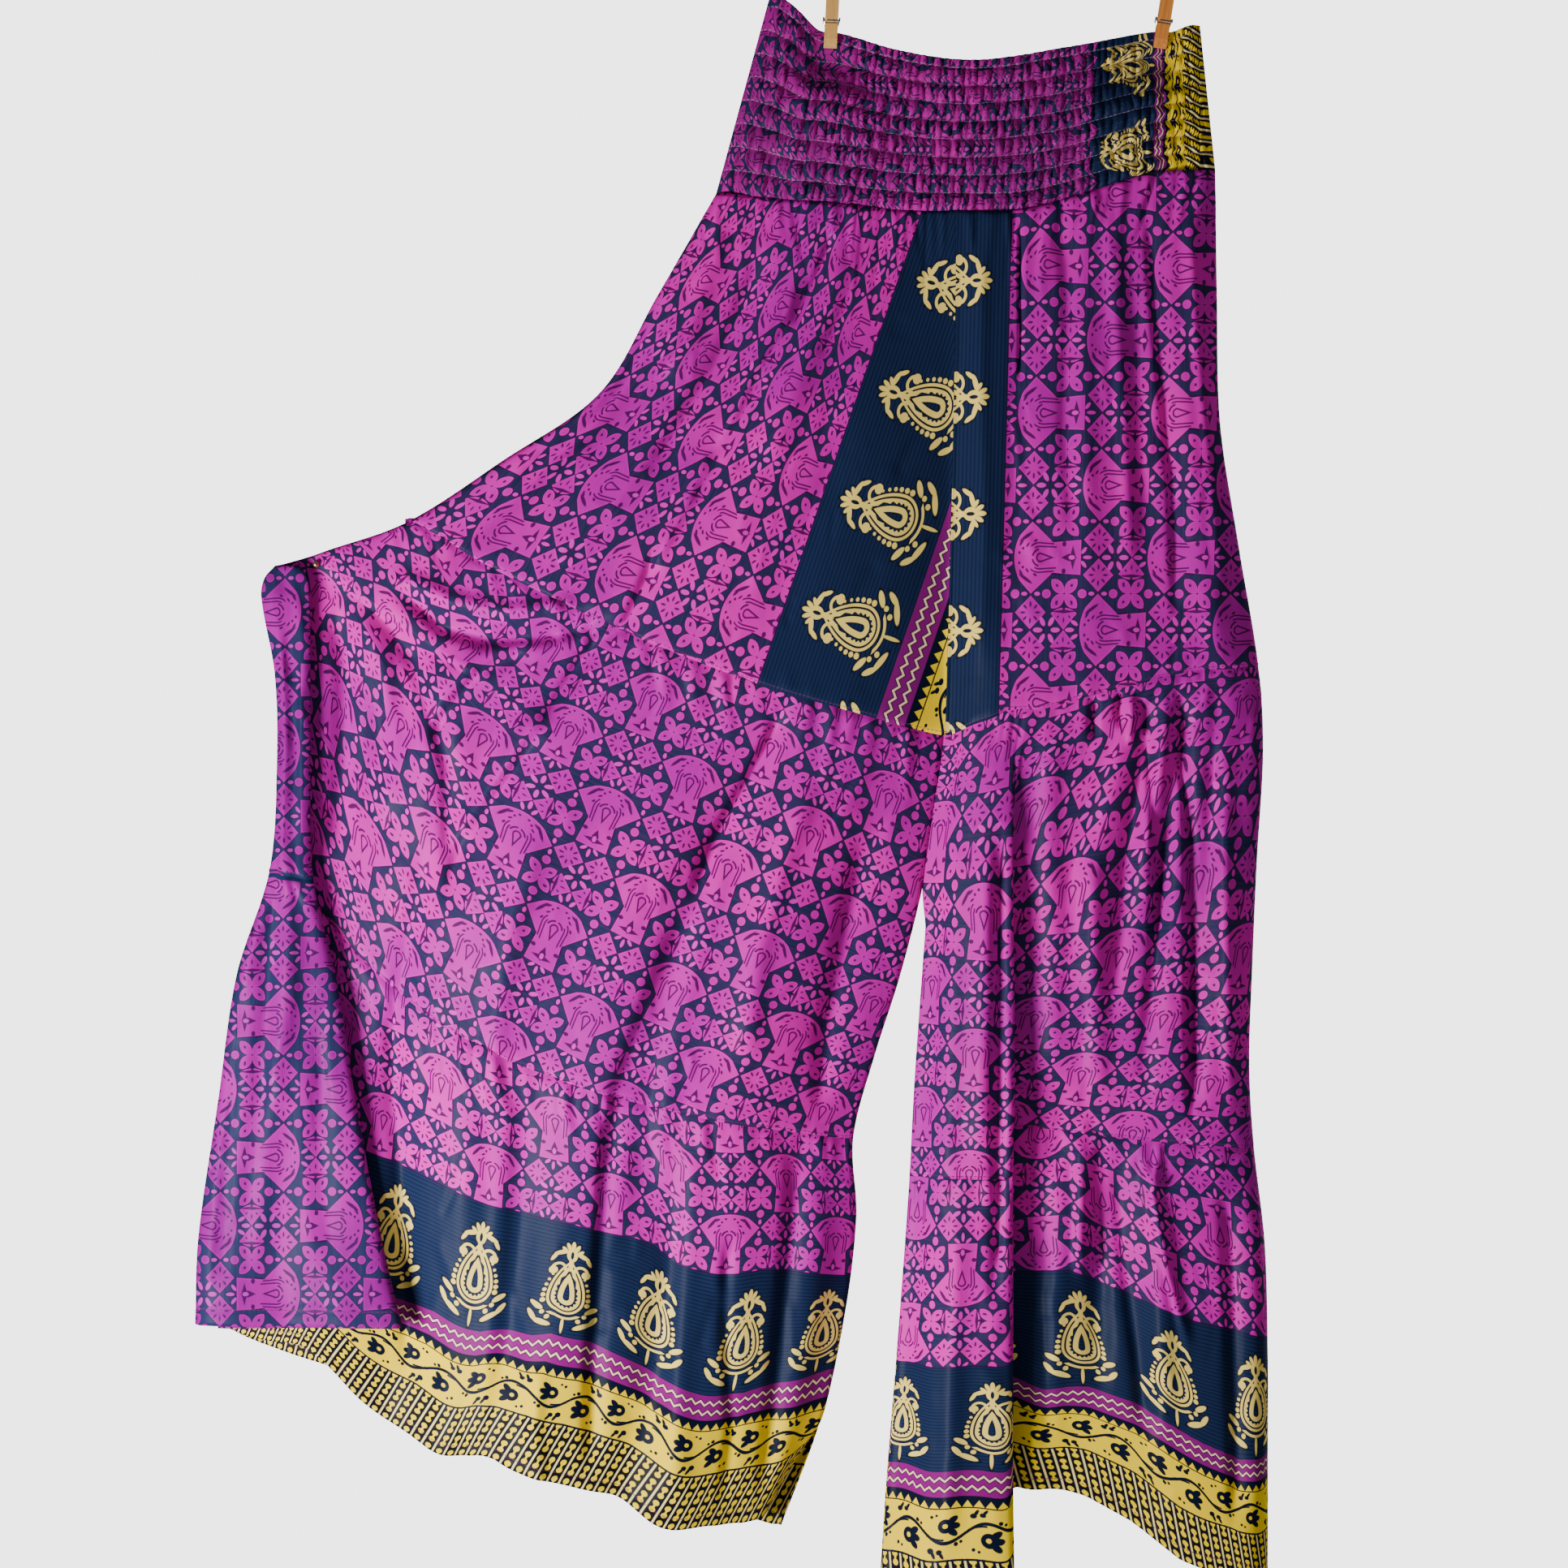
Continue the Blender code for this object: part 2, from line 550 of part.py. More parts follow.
def open_seam(row, upward):
    """Draw a panel's edge back where its seam runs steeply, to keep the gap square to the seam."""
    places = [row[0]] + row + [row[-1]]
    shifts = []
    for before, after in zip(places, places[2:]):
        along = after - before
        steep = along.length / max(1e-6, math.hypot(along.x, along.y))
        shifts.append(SEAM_GAP * STEEP_SEAM * (min(steep, 3.0) - 1.0))
    for point, shift in zip(row, shifts):
        point.z += upward * shift


def waistband(name, outward, fall, finish):
    """Make one layer of the waistband, its outer points raised into smocked puffs."""
    rows = [band_section(n / fall, outward) for n in range(fall + 1)]
    panel = sheet(name, rows, finish)
    view = bpy.context.evaluated_depsgraph_get()
    solid = bpy.data.meshes.new_from_object(panel.evaluated_get(view))
    panel.modifiers.clear()
    panel.data = solid
    solid.name = name
    across = len(rows[0]) - 1
    count = (across + 1) * (fall + 1)
    first_half = [vertex.co.copy() for vertex in solid.vertices[:count]]
    outer_first = sum(co.y for co in first_half) * outward > (
        sum(vertex.co.y for vertex in solid.vertices[count:]) * outward
    )
    offset = 0 if outer_first else count
    for index in range(count):
        vertex = solid.vertices[offset + index]
        inner = solid.vertices[count - offset + index]
        row, column = divmod(index, across + 1)
        row = fall - row
        point = rows[row][column]
        rise = puff(column / across, row / fall, point.x, (rows[0][column].z - point.z))
        vertex.co += (vertex.co - inner.co).normalized() * rise * MM
    return panel


def lean_matrix(peg, facing):
    """Return the matrix from a peg's own frame (out, up, across) to its place on the band."""
    lean = math.radians(peg.lean)
    out = Vector((0.0, facing, 0.0))
    up = Vector((math.sin(lean), 0.0, math.cos(lean)))
    turn = Matrix((out, up, out.cross(up))).transposed().to_4x4()
    return Matrix.Translation(Vector((peg.tip_x, 0.0, peg.tip_z)) * MM) @ turn


def curve_object(name, dimensions, corners, closed, finish):
    """Make a curve object with one straight-sided spline through the corners."""
    curve = bpy.data.curves.new(name, "CURVE")
    curve.dimensions = dimensions
    spline = curve.splines.new("POLY")
    spline.points.add(len(corners) - 1)
    for point, corner in zip(spline.points, corners):
        point.co = (*(value * MM for value in corner), 1.0)
    spline.use_cyclic_u = closed
    curve.materials.append(finish)
    made = bpy.data.objects.new(name, curve)
    bpy.context.collection.objects.link(made)
    return made


def peg_half(peg, facing, finish):
    """Make one wooden half of a peg: a side outline with its spring notch, given its width."""
    outer = PEG_NEAR + PEG_THICK
    notch = SPRING_RADIUS + SPRING_WIRE / 2.0 + 0.5
    reach = math.acos(PEG_NEAR / notch)
    corners = [
        (PEG_NEAR, 1.5),
        (PEG_NEAR + 1.2, 0.0),
        (PEG_NEAR + 3.0, 0.8),
        (outer, 6.0),
        (outer, SPRING_UP - 1.6),
        (outer - 0.9, SPRING_UP - 0.7),
        (outer - 0.9, SPRING_UP + 0.7),
        (outer, SPRING_UP + 1.6),
        (outer + 0.6, PEG_LENGTH - 2.0),
        (outer, PEG_LENGTH),
        (PEG_NEAR + 2.4, PEG_LENGTH),
        (PEG_NEAR + 2.0, PEG_LENGTH - 2.0),
    ]
    for n in range(7):
        angle = reach * (1.0 - n / 3.0)
        corners.append((notch * math.cos(angle), SPRING_UP + notch * math.sin(angle)))
    side = "front" if facing < 0.0 else "back"
    flat = [(out, up, 0.0) for out, up in corners]
    half = curve_object("peg_%s_%s" % (peg.side, side), "2D", flat, True, finish)
    half.data.fill_mode = "BOTH"
    half.data.extrude = PEG_WIDTH / 2.0 * MM
    half.matrix_world = lean_matrix(peg, facing)
    return half


def peg_spring(peg, finish):
    """Make a peg's wire spring: a bar in each outer groove, joined by a coil between them."""
    bar = PEG_NEAR + PEG_THICK - 0.9 + SPRING_WIRE / 2.0 + 0.3
    route = [
        (-bar, SPRING_UP, -SPRING_SIDE + 2.0),
        (-bar, SPRING_UP, SPRING_SIDE - 0.6),
        (-bar + 0.6, SPRING_UP + 0.4, SPRING_SIDE),
    ]
    steps = SPRING_TURNS * SPRING_STEPS
    for n in range(steps + 1):
        turn = 2.0 * math.pi * n / SPRING_STEPS
        route.append(
            (
                SPRING_RADIUS * math.sin(turn),
                SPRING_UP + SPRING_RADIUS * math.cos(turn),
                SPRING_SIDE * (1.0 - 2.0 * n / steps),
            )
        )
    route += [(-out, up, -side) for out, up, side in reversed(route[:3])]
    spring = curve_object("peg_%s_spring" % peg.side, "3D", route, False, finish)
    spring.data.bevel_depth = SPRING_WIRE / 2.0 * MM
    spring.data.bevel_resolution = 1
    spring.data.use_fill_caps = True
    spring.matrix_world = lean_matrix(peg, 1.0)
    return spring


def wall_pin(finish):
    """Make the round head of the pin that holds the swept leg, on the front of the cloth."""
    down = min(range(380, 440), key=lambda d: abs(near_pin(d).z - PIN_Z))
    seat = near_pin(down)
    bpy.ops.mesh.primitive_uv_sphere_add(segments=14, ring_count=8, radius=PIN_RADIUS * MM)
    head = bpy.context.object
    head.name = "wall_pin"
    head.location = Vector((PIN_X, seat.y - WALL / 2.0 - PIN_RADIUS - PIN_CLEAR, PIN_Z)) * MM
    head.data.materials.append(finish)
    head.data.shade_smooth()
    return head


def near_pin(down):
    """Return the point of the left front nearest the pin's x, on the section at a length."""
    return min(left_front(down, 4), key=lambda point: abs(point.x - PIN_X))


def main():
    """Build the pants, the pegs that hold them and the pin."""
    for old in list(bpy.data.objects):
        bpy.data.objects.remove(old, do_unlink=True)
    cloth = material("printed_cloth", MAGENTA, 0.45)
    band = material("smocked_cloth", PURPLE, 0.55)
    wood = material("peg_wood", WOOD, 0.7)
    steel = material("spring_steel", STEEL, 0.35, 1.0)
    brass = material("pin_brass", BRASS, 0.3, 1.0)

    tiers = (
        ("hip", 0.0, TIER_1_END, HIP_STEPS),
        ("mid", TIER_1_END, TIER_2_END, MID_STEPS),
        ("hem", TIER_2_END, TIER_3_END, HEM_STEPS),
    )
    sides = (
        ("left_front", left_front),
        ("left_back", left_back),
        ("right_front", right_front),
        ("right_back", right_back),
    )
    for tier, start, end, steps in tiers:
        for side, sections in sides:
            fall = steps if "front" in side else steps - 2
            leg_panel("%s_%s" % (tier, side), sections, start, end, fall, cloth)
    leg_panel("mid_left_side", left_side, PIN_DOWN, TIER_2_END, MID_STEPS - 2, cloth)
    leg_panel("hem_left_side", left_side, TIER_2_END, TIER_3_END, HEM_STEPS, cloth)
    waistband("waistband_front", -1.0, BAND_STEPS, band)
    waistband("waistband_back", 1.0, BAND_STEPS, band)
    for peg in PEGS:
        peg_half(peg, -1.0, wood)
        peg_half(peg, 1.0, wood)
        peg_spring(peg, steel)
    wall_pin(brass)


main()
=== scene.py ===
"""Tiered palazzo pants hung from two wooden pegs: cloth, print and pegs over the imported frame.

Sizes are millimetres where a name does not say otherwise: x to the right of the pegs' middle, z up
from the pegs' tops, y away from the viewer. The cloth's sections are those of the solids.
"""

from __future__ import annotations

import logging
import math
import random
from collections.abc import Callable, Iterable, Iterator, Sequence
from dataclasses import dataclass, field
from enum import Enum
from itertools import chain
from typing import Any, NamedTuple

import bpy
import numpy as np
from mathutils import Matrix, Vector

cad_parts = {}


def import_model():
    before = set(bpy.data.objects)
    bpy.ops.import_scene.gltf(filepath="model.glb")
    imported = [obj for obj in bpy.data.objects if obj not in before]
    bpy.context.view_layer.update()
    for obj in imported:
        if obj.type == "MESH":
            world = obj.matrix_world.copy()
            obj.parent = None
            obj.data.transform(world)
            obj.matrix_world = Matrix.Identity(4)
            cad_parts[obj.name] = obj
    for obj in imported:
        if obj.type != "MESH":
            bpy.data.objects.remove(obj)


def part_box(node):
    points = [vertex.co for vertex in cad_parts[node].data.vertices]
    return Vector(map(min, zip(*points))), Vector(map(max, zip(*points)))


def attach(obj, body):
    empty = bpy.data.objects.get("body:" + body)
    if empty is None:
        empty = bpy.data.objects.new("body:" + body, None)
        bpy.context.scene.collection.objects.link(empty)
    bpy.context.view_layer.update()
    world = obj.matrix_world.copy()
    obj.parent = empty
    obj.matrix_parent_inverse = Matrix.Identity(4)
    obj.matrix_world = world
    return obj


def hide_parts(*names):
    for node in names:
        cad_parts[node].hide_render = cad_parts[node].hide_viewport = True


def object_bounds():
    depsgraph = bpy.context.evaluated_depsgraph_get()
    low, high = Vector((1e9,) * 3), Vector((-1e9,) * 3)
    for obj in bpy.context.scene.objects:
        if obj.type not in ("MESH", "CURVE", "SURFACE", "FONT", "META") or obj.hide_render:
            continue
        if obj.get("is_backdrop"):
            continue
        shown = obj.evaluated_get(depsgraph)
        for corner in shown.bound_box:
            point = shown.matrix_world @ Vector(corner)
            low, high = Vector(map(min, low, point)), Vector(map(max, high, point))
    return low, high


LOG = logging.getLogger("palazzo_pants")
MM = 0.001
BODY = "root"

SILK_WALL = 0.8
SIDE_GAP = 0.25
LEG_GAP = 0.3
TIER_1_END = 333.0
TIER_2_END = 623.0
TIER_3_END = 898.0
PIN_DOWN = 420.0
PIN_BLEND = 29.0
CENTRE_SEAM_X = (-31.0, -38.0)
CENTRE_SEAM_DEPTH = (17.0, 8.0)
EDGE_ROUND = 8.0
EDGE_REACH = 6.0
# How far out, and at which share of the way back, a turned edge's middle corners lie.
EDGE_TURNS = ((1.4, 0.35), (0.0, 0.7))
# How far a folded edge's turn reaches along it, and the shares of the pleat's rise that it takes.
TURN_REACH = 4.0
PLEAT_SHARES = (0.12, 0.30)
RIGHT_HEM_ARCH = 7.0
LEFT_HEM_LIFT = 4.0
RIGHT_HEM_LIFT = 10.0
OUTER_HEM_LIFT = 5.0

# Lengths up the printed border from the hem's edge, and the lengths of its repeats.
COMB_TOP = 31.0
VINE_TOP = 60.0
ZIGZAG_FOOT = 68.0
ZIGZAG_TOP = 87.0
NAVY_TOP = 167.0
BORDER_STRETCH = 1.31
CREASE_GAIN = 2.7
FAR_FROM_BORDER = 400.0
FAR_FROM_STITCH = 50.0

# Lengths below the waist between which the legs part, from the lower to the upper.
CROTCH_OPENS = (455.0, 425.0)

# How far a tier's top edge runs up behind the tier above it.
TUCK_RISE = 3.0
TUCK_DEPTH = 1.3

Rows = np.ndarray
Anchors = Sequence[tuple[float, float]]
Colour = tuple[float, float, float, float]
Spot = tuple[float, float, float]
Outline = tuple[list[Spot], list[int]]


def numbers(text: str) -> list[list[float]]:
    """Return the numbers of each line of a table that is written as text."""
    return [[float(word) for word in line.split()] for line in text.strip().splitlines()]


def table(kind: Callable[..., Any], text: str) -> tuple[Any, ...]:
    """Return a text table's rows as named tuples of one kind."""
    return tuple(kind(*row) for row in numbers(text))


def pairs(flat: Sequence[float]) -> Anchors:
    """Return a plain run of numbers as pairs."""
    return tuple(zip(flat[::2], flat[1::2]))


def anchors(text: str) -> Anchors:
    """Return the pairs of a run of numbers that is written as text."""
    return pairs([float(word) for word in text.split()])


class LeftRow(NamedTuple):
    """A section of the left front, from the centre seam or inseam to its far edge."""

    down: float
    inner_x: float
    inner_z: float
    edge_x: float
    edge_z: float
    sag: float
    sag_at: float
    front: float
    layer: float
    tip: float
    under: float


LEFT_ROWS = table(LeftRow, """
0 -31 -158 -187 -146 2 0.5 19 14 -0.2 0
83 -32 -243 -225 -212 7 0.5 25 15 -0.2 0
166 -34 -328 -263 -276 13 0.48 30 14 -0.2 0
250 -36 -413 -326 -320 15 0.46 34 13 -0.2 0
333 -39 -499 -390 -361 16 0.45 36 12 -0.2 0
391 -46 -554 -444 -380 26 0.5 34 9 -0.2 0.02
420 -51 -585 -464 -389 31 0.53 34 7 -10.5 0.05
440 -54 -604 -471 -401 34 0.56 34 9 -13 0.06
498 -68 -658 -470 -462 40 0.6 37 11 -14.8 0.08
559 -84 -708 -470 -528 46 0.62 39 12 -15.8 0.09
623 -98 -762 -470 -594 49 0.64 38 12 -15.8 0.1
684 -96 -814 -477 -657 48 0.64 37 12 -15.8 0.14
760 -104 -880 -487 -737 40 0.62 38 12 -15.8 0.2
846 -121 -955 -498 -827 30 0.6 40 12 -15.8 0.27
898 -145 -1019 -511 -885 24 0.58 42 12 -15.8 0.33
""")


class SideRow(NamedTuple):
    """A section of the side panel: its flap's free fold, the outline and their depths."""

    down: float
    lap_x: float
    lap_z: float
    rim_x: float
    rim_z: float
    face: float
    rim_y: float


SIDE_ROWS = table(SideRow, """
420 -459 -389 -474 -389 18.5 -10.3
430 -454 -396 -481 -397 20 -10
446 -452 -409 -483 -410 22 -9.5
498 -451 -463 -474 -462 26 -8
559 -451 -527 -473 -525 28 -8
623 -449 -593 -478 -589 29 -8
684 -434 -658 -499 -655 30 -7
760 -421 -739 -511 -736 31 -6
846 -404 -829 -524 -826 32 -6
898 -391 -884 -526 -882 33 -6
""")


class RightRow(NamedTuple):
    """A section of the right front: the forward pleat, the sunken valley and the ridge."""

    down: float
    inner_x: float
    inner_z: float
    pleat_x: float
    pleat_z: float
    valley_z: float
    ridge_x: float
    ridge_z: float
    outer_x: float
    outer_z: float
    front: float
    step: float
    tuck: float
    ridge: float


RIGHT_ROWS = table(RightRow, """
0 -31 -158 10 -158 -158 108 -132 138 -131 19 0 -12 17
83 -32 -243 10 -242 -242 108 -223 139 -213 22 0 -12 21
166 -34 -328 8 -324 -324 116 -308 141 -295 25 0 -12 23
250 -36 -413 7 -405 -405 119 -385 153 -375 28 0 -12 25
333 -37 -499 6 -483 -483 120 -458 166 -455 30 0 -12 27
391 -43 -549 5 -541 -537 120 -517 169 -512 34 8 0 27
437 -49 -607 5 -607 -597 120 -581 165 -581 36 13 6 27
498 -54 -671 6 -674 -656 121 -650 162 -650 37 15 12 28
559 -58 -729 6 -732 -704 116 -708 160 -713 38 17 16 29
623 -61 -787 5 -787 -752 108 -764 163 -768 38 18 19 29
684 -65 -846 5 -846 -803 114 -822 170 -830 39 19 20 30
760 -70 -915 5 -915 -864 120 -894 172 -902 40 20 20 31
846 -76 -994 5 -997 -930 125 -968 172 -973 41 21 20 32
898 -81 -1071 6 -1073 -986 127 -1039 172 -1046 42 22 20 33
""")


class BackRow(NamedTuple):
    """A section of a back panel, which lies almost flat."""

    down: float
    depth: float
    lift: float
    lift_at: float


LEFT_BACK_ROWS = table(BackRow, """
0 17 -1 0.5
333 16 -8 0.5
623 16 -24 0.4
898 17 -5 0.3
""")
RIGHT_BACK_ROWS = table(BackRow, """
0 17 0 0.5
333 16 8 0.5
623 16 10 0.5
898 17 66 0.42
""")


class Fold(NamedTuple):
    """A long soft ridge or trough of the solids, and how far it pulls the lower edge down.

    It is held, with a 1, where it runs on at full depth to its lower end.
    """

    at_top: float
    at_foot: float
    start: float
    end: float
    width: float
    depth: float
    drop: float
    held: float


LEFT_FOLDS = table(Fold, """
0.93 0.86 60 420 0.03 -9 0 0
0.8 0.74 40 400 0.06 4 0 0
0.6 0.66 30 333 0.05 -4 0 0
0.42 0.52 60 333 0.06 4 0 0
0.3 0.36 120 345 0.04 -4 0 0
0.56 0.69 300 560 0.034 -9 0 0
0.48 0.62 300 620 0.06 5 0 0
0.7 0.76 370 540 0.03 6 0 0
0.76 0.83 350 560 0.034 -6 0 0
0.28 0.36 335 800 0.03 -8 0 0
0.36 0.46 350 900 0.06 5 4 1
0.18 0.22 335 900 0.055 5 9 1
0.1 0.09 335 640 0.035 -4 0 0
0.54 0.53 600 900 0.045 -6 -4 1
0.62 0.6 600 900 0.045 5 5 1
0.28 0.3 640 900 0.035 -7 -3 1
0.07 0.06 640 900 0.035 4 3 1
0.72 0.7 640 900 0.04 -4 0 1
0.84 0.83 700 900 0.08 3 -21 1
""")
SIDE_FOLDS = table(Fold, """
0.62 0.58 434 900 0.05 2.5 0 1
0.8 0.84 560 900 0.045 3.5 0 1
0.71 0.72 600 900 0.035 -3 0 1
""")
RIGHT_FOLDS = table(Fold, """
0.24 0.22 30 333 0.045 -3 0 0
0.44 0.46 20 333 0.05 4 0 0
0.62 0.64 20 320 0.045 -5 0 0
0.8 0.82 60 420 0.045 4 0 0
0.62 0.63 330 560 0.02 -6 0 0
0.67 0.67 330 470 0.018 5 0 0
0.71 0.72 330 620 0.02 -7 0 0
0.56 0.55 330 600 0.03 4 0 0
0.81 0.83 300 640 0.028 -6 0 0
0.1 0.11 335 900 0.04 4 3 1
0.55 0.54 620 900 0.035 6 3 1
0.62 0.64 620 860 0.024 -7 0 0
0.72 0.77 620 880 0.022 6 0 0
0.93 0.93 620 900 0.035 4 2 1
""")
BACK_FOLDS = table(Fold, """
0.2 0.18 40 620 0.05 3 0 0
0.36 0.4 30 900 0.05 -3 2 1
0.55 0.56 200 900 0.06 4 3 1
0.7 0.74 30 900 0.045 -3 -2 1
0.86 0.88 340 900 0.045 3 2 1
""")


class BandRow(NamedTuple):
    """A place across the waistband: its seam, its top edge and each layer's depths."""

    seam_x: float
    seam_z: float
    top_x: float
    top_z: float
    top_depth: float
    seam_depth: float


BAND_ROWS = table(BandRow, """
-187 -146 -152 -17 0 0
-156 -149 -133 -27 5 13
-141 -151 -120 -39 1.25 16
-126 -152 -106 -41 1.25 17
-72 -157 -67 -53 8 17
-31 -158 -19 -59 9 17
14 -157 45 -50 8 17
83 -137 98 -40 1.25 17
97 -133 110 -40 1.25 14
138 -131 128 -36 0 0
""")
PINCH_LENGTH = 17.0
PINCH_FADE = 50.0
PEG_TIPS = (-113.0, 102.0)


class Crease(NamedTuple):
    """A crease in the cloth: its run as x, z pairs, its breadth on each side and its depth."""

    run: tuple[tuple[float, float], ...]
    left: float
    right: float
    depth: float


def creases(text: str) -> tuple[Crease, ...]:
    """Return the creases of a text table: left and right breadth, depth, then the run."""
    return tuple(Crease(pairs(row[3:]), *row[:3]) for row in numbers(text))


# Runs are x to the right and z down from the pegs' tops. A trough has a depth below zero.
LEFT_CREASES = creases("""
2.2 4 2 -133 200 -142 224 -154 244 -167 269 -176 291 -189 313
2 5 1.8 -189 313 -201 332 -207 348 -219 370 -231 398
6 10 -2.2 -154 180 -172 226 -189 262 -212 300 -236 339
7 9 1.6 -100 176 -112 214 -128 250 -144 290 -160 330
3 4 -1.4 -110 170 -122 202 -140 236
4 8 2 -180 170 -196 205 -206 240 -226 270
3 7 -2.6 -223 371 -234 400 -246 427 -267 438 -284 464 -302 495
4 8 -2.2 -302 495 -317 520 -350 564 -366 611
7 5 2.2 -295 475 -325 520 -358 576
3 6 -2.4 -305 443 -340 457 -362 483 -374 506
5 9 -3.4 -400 398 -366 429 -338 438 -293 435 -252 424
8 6 2.2 -405 392 -360 412 -320 420 -270 414
6 9 -3.2 -438 410 -430 460 -432 520 -440 580
6 8 2.2 -428 408 -404 455 -396 510 -404 560
5 8 -2 -420 402 -385 450 -362 520 -360 600
2.6 7 -2.8 -143 476 -151 497 -169 531 -193 572 -205 607
6 10 -2.2 -205 607 -228 668 -252 734 -258 788
9 8 1.8 -120 520 -142 575 -160 640 -170 720
10 8 2 -176 560 -200 640 -218 710 -226 780
9 9 1.8 -300 560 -318 620 -330 690 -334 760
8 8 -1.8 -372 560 -386 630 -398 700 -404 770
4 8 -1.8 -90 560 -104 620 -118 690 -122 750
4 9 -2.4 -136 752 -140 820 -148 900 -160 1010
9 9 2 -200 750 -206 830 -212 910 -214 1010
4 9 -2.6 -256 735 -262 820 -268 900 -270 990
9 8 2.2 -322 706 -326 800 -332 880 -344 980
6 9 -2.2 -398 660 -396 740 -392 830 -386 930
3 6 -1.4 -180 812 -182 880 -178 950 -186 1010
4 6 1.6 -300 905 -306 950 -300 995
""")
RIGHT_CREASES = creases("""
0.9 2.2 -1.4 10 160 9.5 200 10 240 9 274
5 7 -1.8 38 156 42 220 40 300 46 380
5 8 1.8 66 150 72 210 78 300 82 400
3 7 -2 92 148 98 230 108 330 112 430
5 5 1.6 120 150 124 230 134 320 142 420
4 6 1.2 -14 170 -16 260 -14 360 -17 470
2.2 3 -2.4 58 474 57 490 58 504
2.2 3 -2 75 470 74 484 76 496
1.6 2.2 1.8 81 471 82 488 81 506
1.6 2.4 -1.8 89 476 90 488 90 499
2 6 -2.4 92 497 95 538 96 559 98 585 97 640
2.6 6 -3.4 112 460 114 505 117 539 119 569 120 670 121 760
6 8 1.8 30 480 28 560 32 640 30 730
4 6 1.8 140 470 142 560 144 660 146 750
3 9 3.2 48 755 49 800 48 854
1.8 4 2 87 763 94 791 99 816 103 838 111 870 121 903
1.6 3 1.6 100 763 97 785 98 797
5 8 -2.2 72 770 76 830 86 900 92 960
6 8 1.8 -30 800 -34 880 -36 960 -40 1040
6 8 1.6 -12 560 -14 660 -18 780
4 7 -2 142 780 146 860 148 940 150 1020
4 6 -1.6 24 780 26 850 24 930 26 980
5 3.6 -2.6 -3 545 -4 640 -4 760 -5 880
6 9 2 52 560 58 640 60 740
""")
SIDE_CREASES = creases("""
3 5 -1.4 -466 420 -463 500 -466 590
5 8 2 -460 600 -470 680 -478 760 -486 860
4 6 -1.8 -490 640 -500 720 -506 800 -510 870
4 7 -1.6 -440 680 -446 760 -440 850
""")
BACK_CREASES = creases("""
6 8 1.8 -120 180 -150 280 -190 390
5 8 -2 -190 190 -240 290 -300 380
8 10 2 -90 420 -120 560 -140 700 -150 900
6 9 -2.4 -200 420 -230 560 -240 760 -250 960
8 8 2.2 -300 420 -330 560 -350 700 -370 900
6 8 -2 -400 430 -420 560 -430 760
5 8 -1.8 30 190 34 300 30 420
7 8 1.8 80 180 90 300 96 430
6 9 2.2 50 480 52 640 48 800
5 7 -2.2 110 480 114 640 120 860
6 8 -1.8 -10 520 -16 700 -24 900
""")

# The folds and creases of each kind of panel, and the share of it where its creases begin.
DRESSES = {
    "left_front": (LEFT_FOLDS, LEFT_CREASES, 0.03),
    "right_front": (RIGHT_FOLDS, RIGHT_CREASES, 0.03),
    "left_side": (SIDE_FOLDS, SIDE_CREASES, 0.45),
    "left_back": (BACK_FOLDS, BACK_CREASES, 0.03),
    "right_back": (BACK_FOLDS, BACK_CREASES, 0.03),
}


class Puckers(NamedTuple):
    """A seam's puckers: their usual spacing, greatest depth and greatest length."""

    pitch: float
    depth: float
    length: float


WAIST_PUCKERS = Puckers(7.5, 2.4, 95.0)
HIP_FOOT_PUCKERS = Puckers(11.0, 0.8, 26.0)
MIDDLE_TOP_PUCKERS = Puckers(9.5, 2.5, 66.0)
MIDDLE_FOOT_PUCKERS = Puckers(12.0, 0.8, 24.0)
HEM_TOP_PUCKERS = Puckers(10.0, 2.4, 62.0)

# How deep a sewn line sinks, and how far it spreads.
SEAM_GROOVE = (1.1, 2.6)
HEM_GROOVE = (1.0, 2.2)

# Lengths along each lowest panel, paired with where the printed border comes there.
LEFT_RUN = anchors("0 -18 18 0 72 58 131 116 190 174 252 232 314 290 440 416")
LEFT_LOW = anchors("""
0 101 9 99 37 88 64 78 97 79 120 78 144 87 173 97 196 97 208 89 242 78 277 79
303 73 324 68 440 66
""")
LEFT_HIGH = anchors("""
0 171 69 171 97 167 122 165 139 175 151 178 192 179 219 175 251 171 290 170
322 165 354 156 440 152
""")
LEFT_RIPPLE = anchors("0 30 8 24 16 14 33 5 52 0 95 0 125 3 186 7 202 6 220 0 440 0")
RIGHT_RIPPLE = anchors("0 0 205 0 235 8 262 11 294 9 330 0 420 0")
RIGHT_RUN = anchors("0 -11 11 0 79 58 216 174 278 232 334 290 420 376")
RIGHT_LOW = anchors("15 72 150 72 190 66 219 76 249 76 277 68 320 54 352 60")
RIGHT_HIGH = anchors("15 146 130 146 168 159 209 171 291 155 352 150")
BACK_RUN = anchors("0 10 500 510")
BACK_LOW = anchors("0 86 500 86")
BACK_HIGH = anchors("0 166 500 166")


def smooth(low: float, high: float, value: Any) -> Any:
    """Return a soft step from 0 at low to 1 at high, for a number or an array."""
    t = np.clip((value - low) / (high - low), 0.0, 1.0)
    return t * t * (3.0 - 2.0 * t)


def bump(across: float, peak: float) -> float:
    """Return a half wave across a panel that is 1 at peak and 0 at both ends."""
    half = 0.5 * across / peak if across < peak else 0.5 + 0.5 * (across - peak) / (1.0 - peak)
    return math.sin(math.pi * half)


def hermite(start: Any, end: Any, out: Any, into: Any, t: Any) -> Any:
    """Return the points at t of a cubic curve with the given ends and end slopes."""
    return (
        (2 * t**3 - 3 * t**2 + 1) * start
        + (t**3 - 2 * t**2 + t) * out
        + (3 * t**2 - 2 * t**3) * end
        + (t**3 - t**2) * into
    )


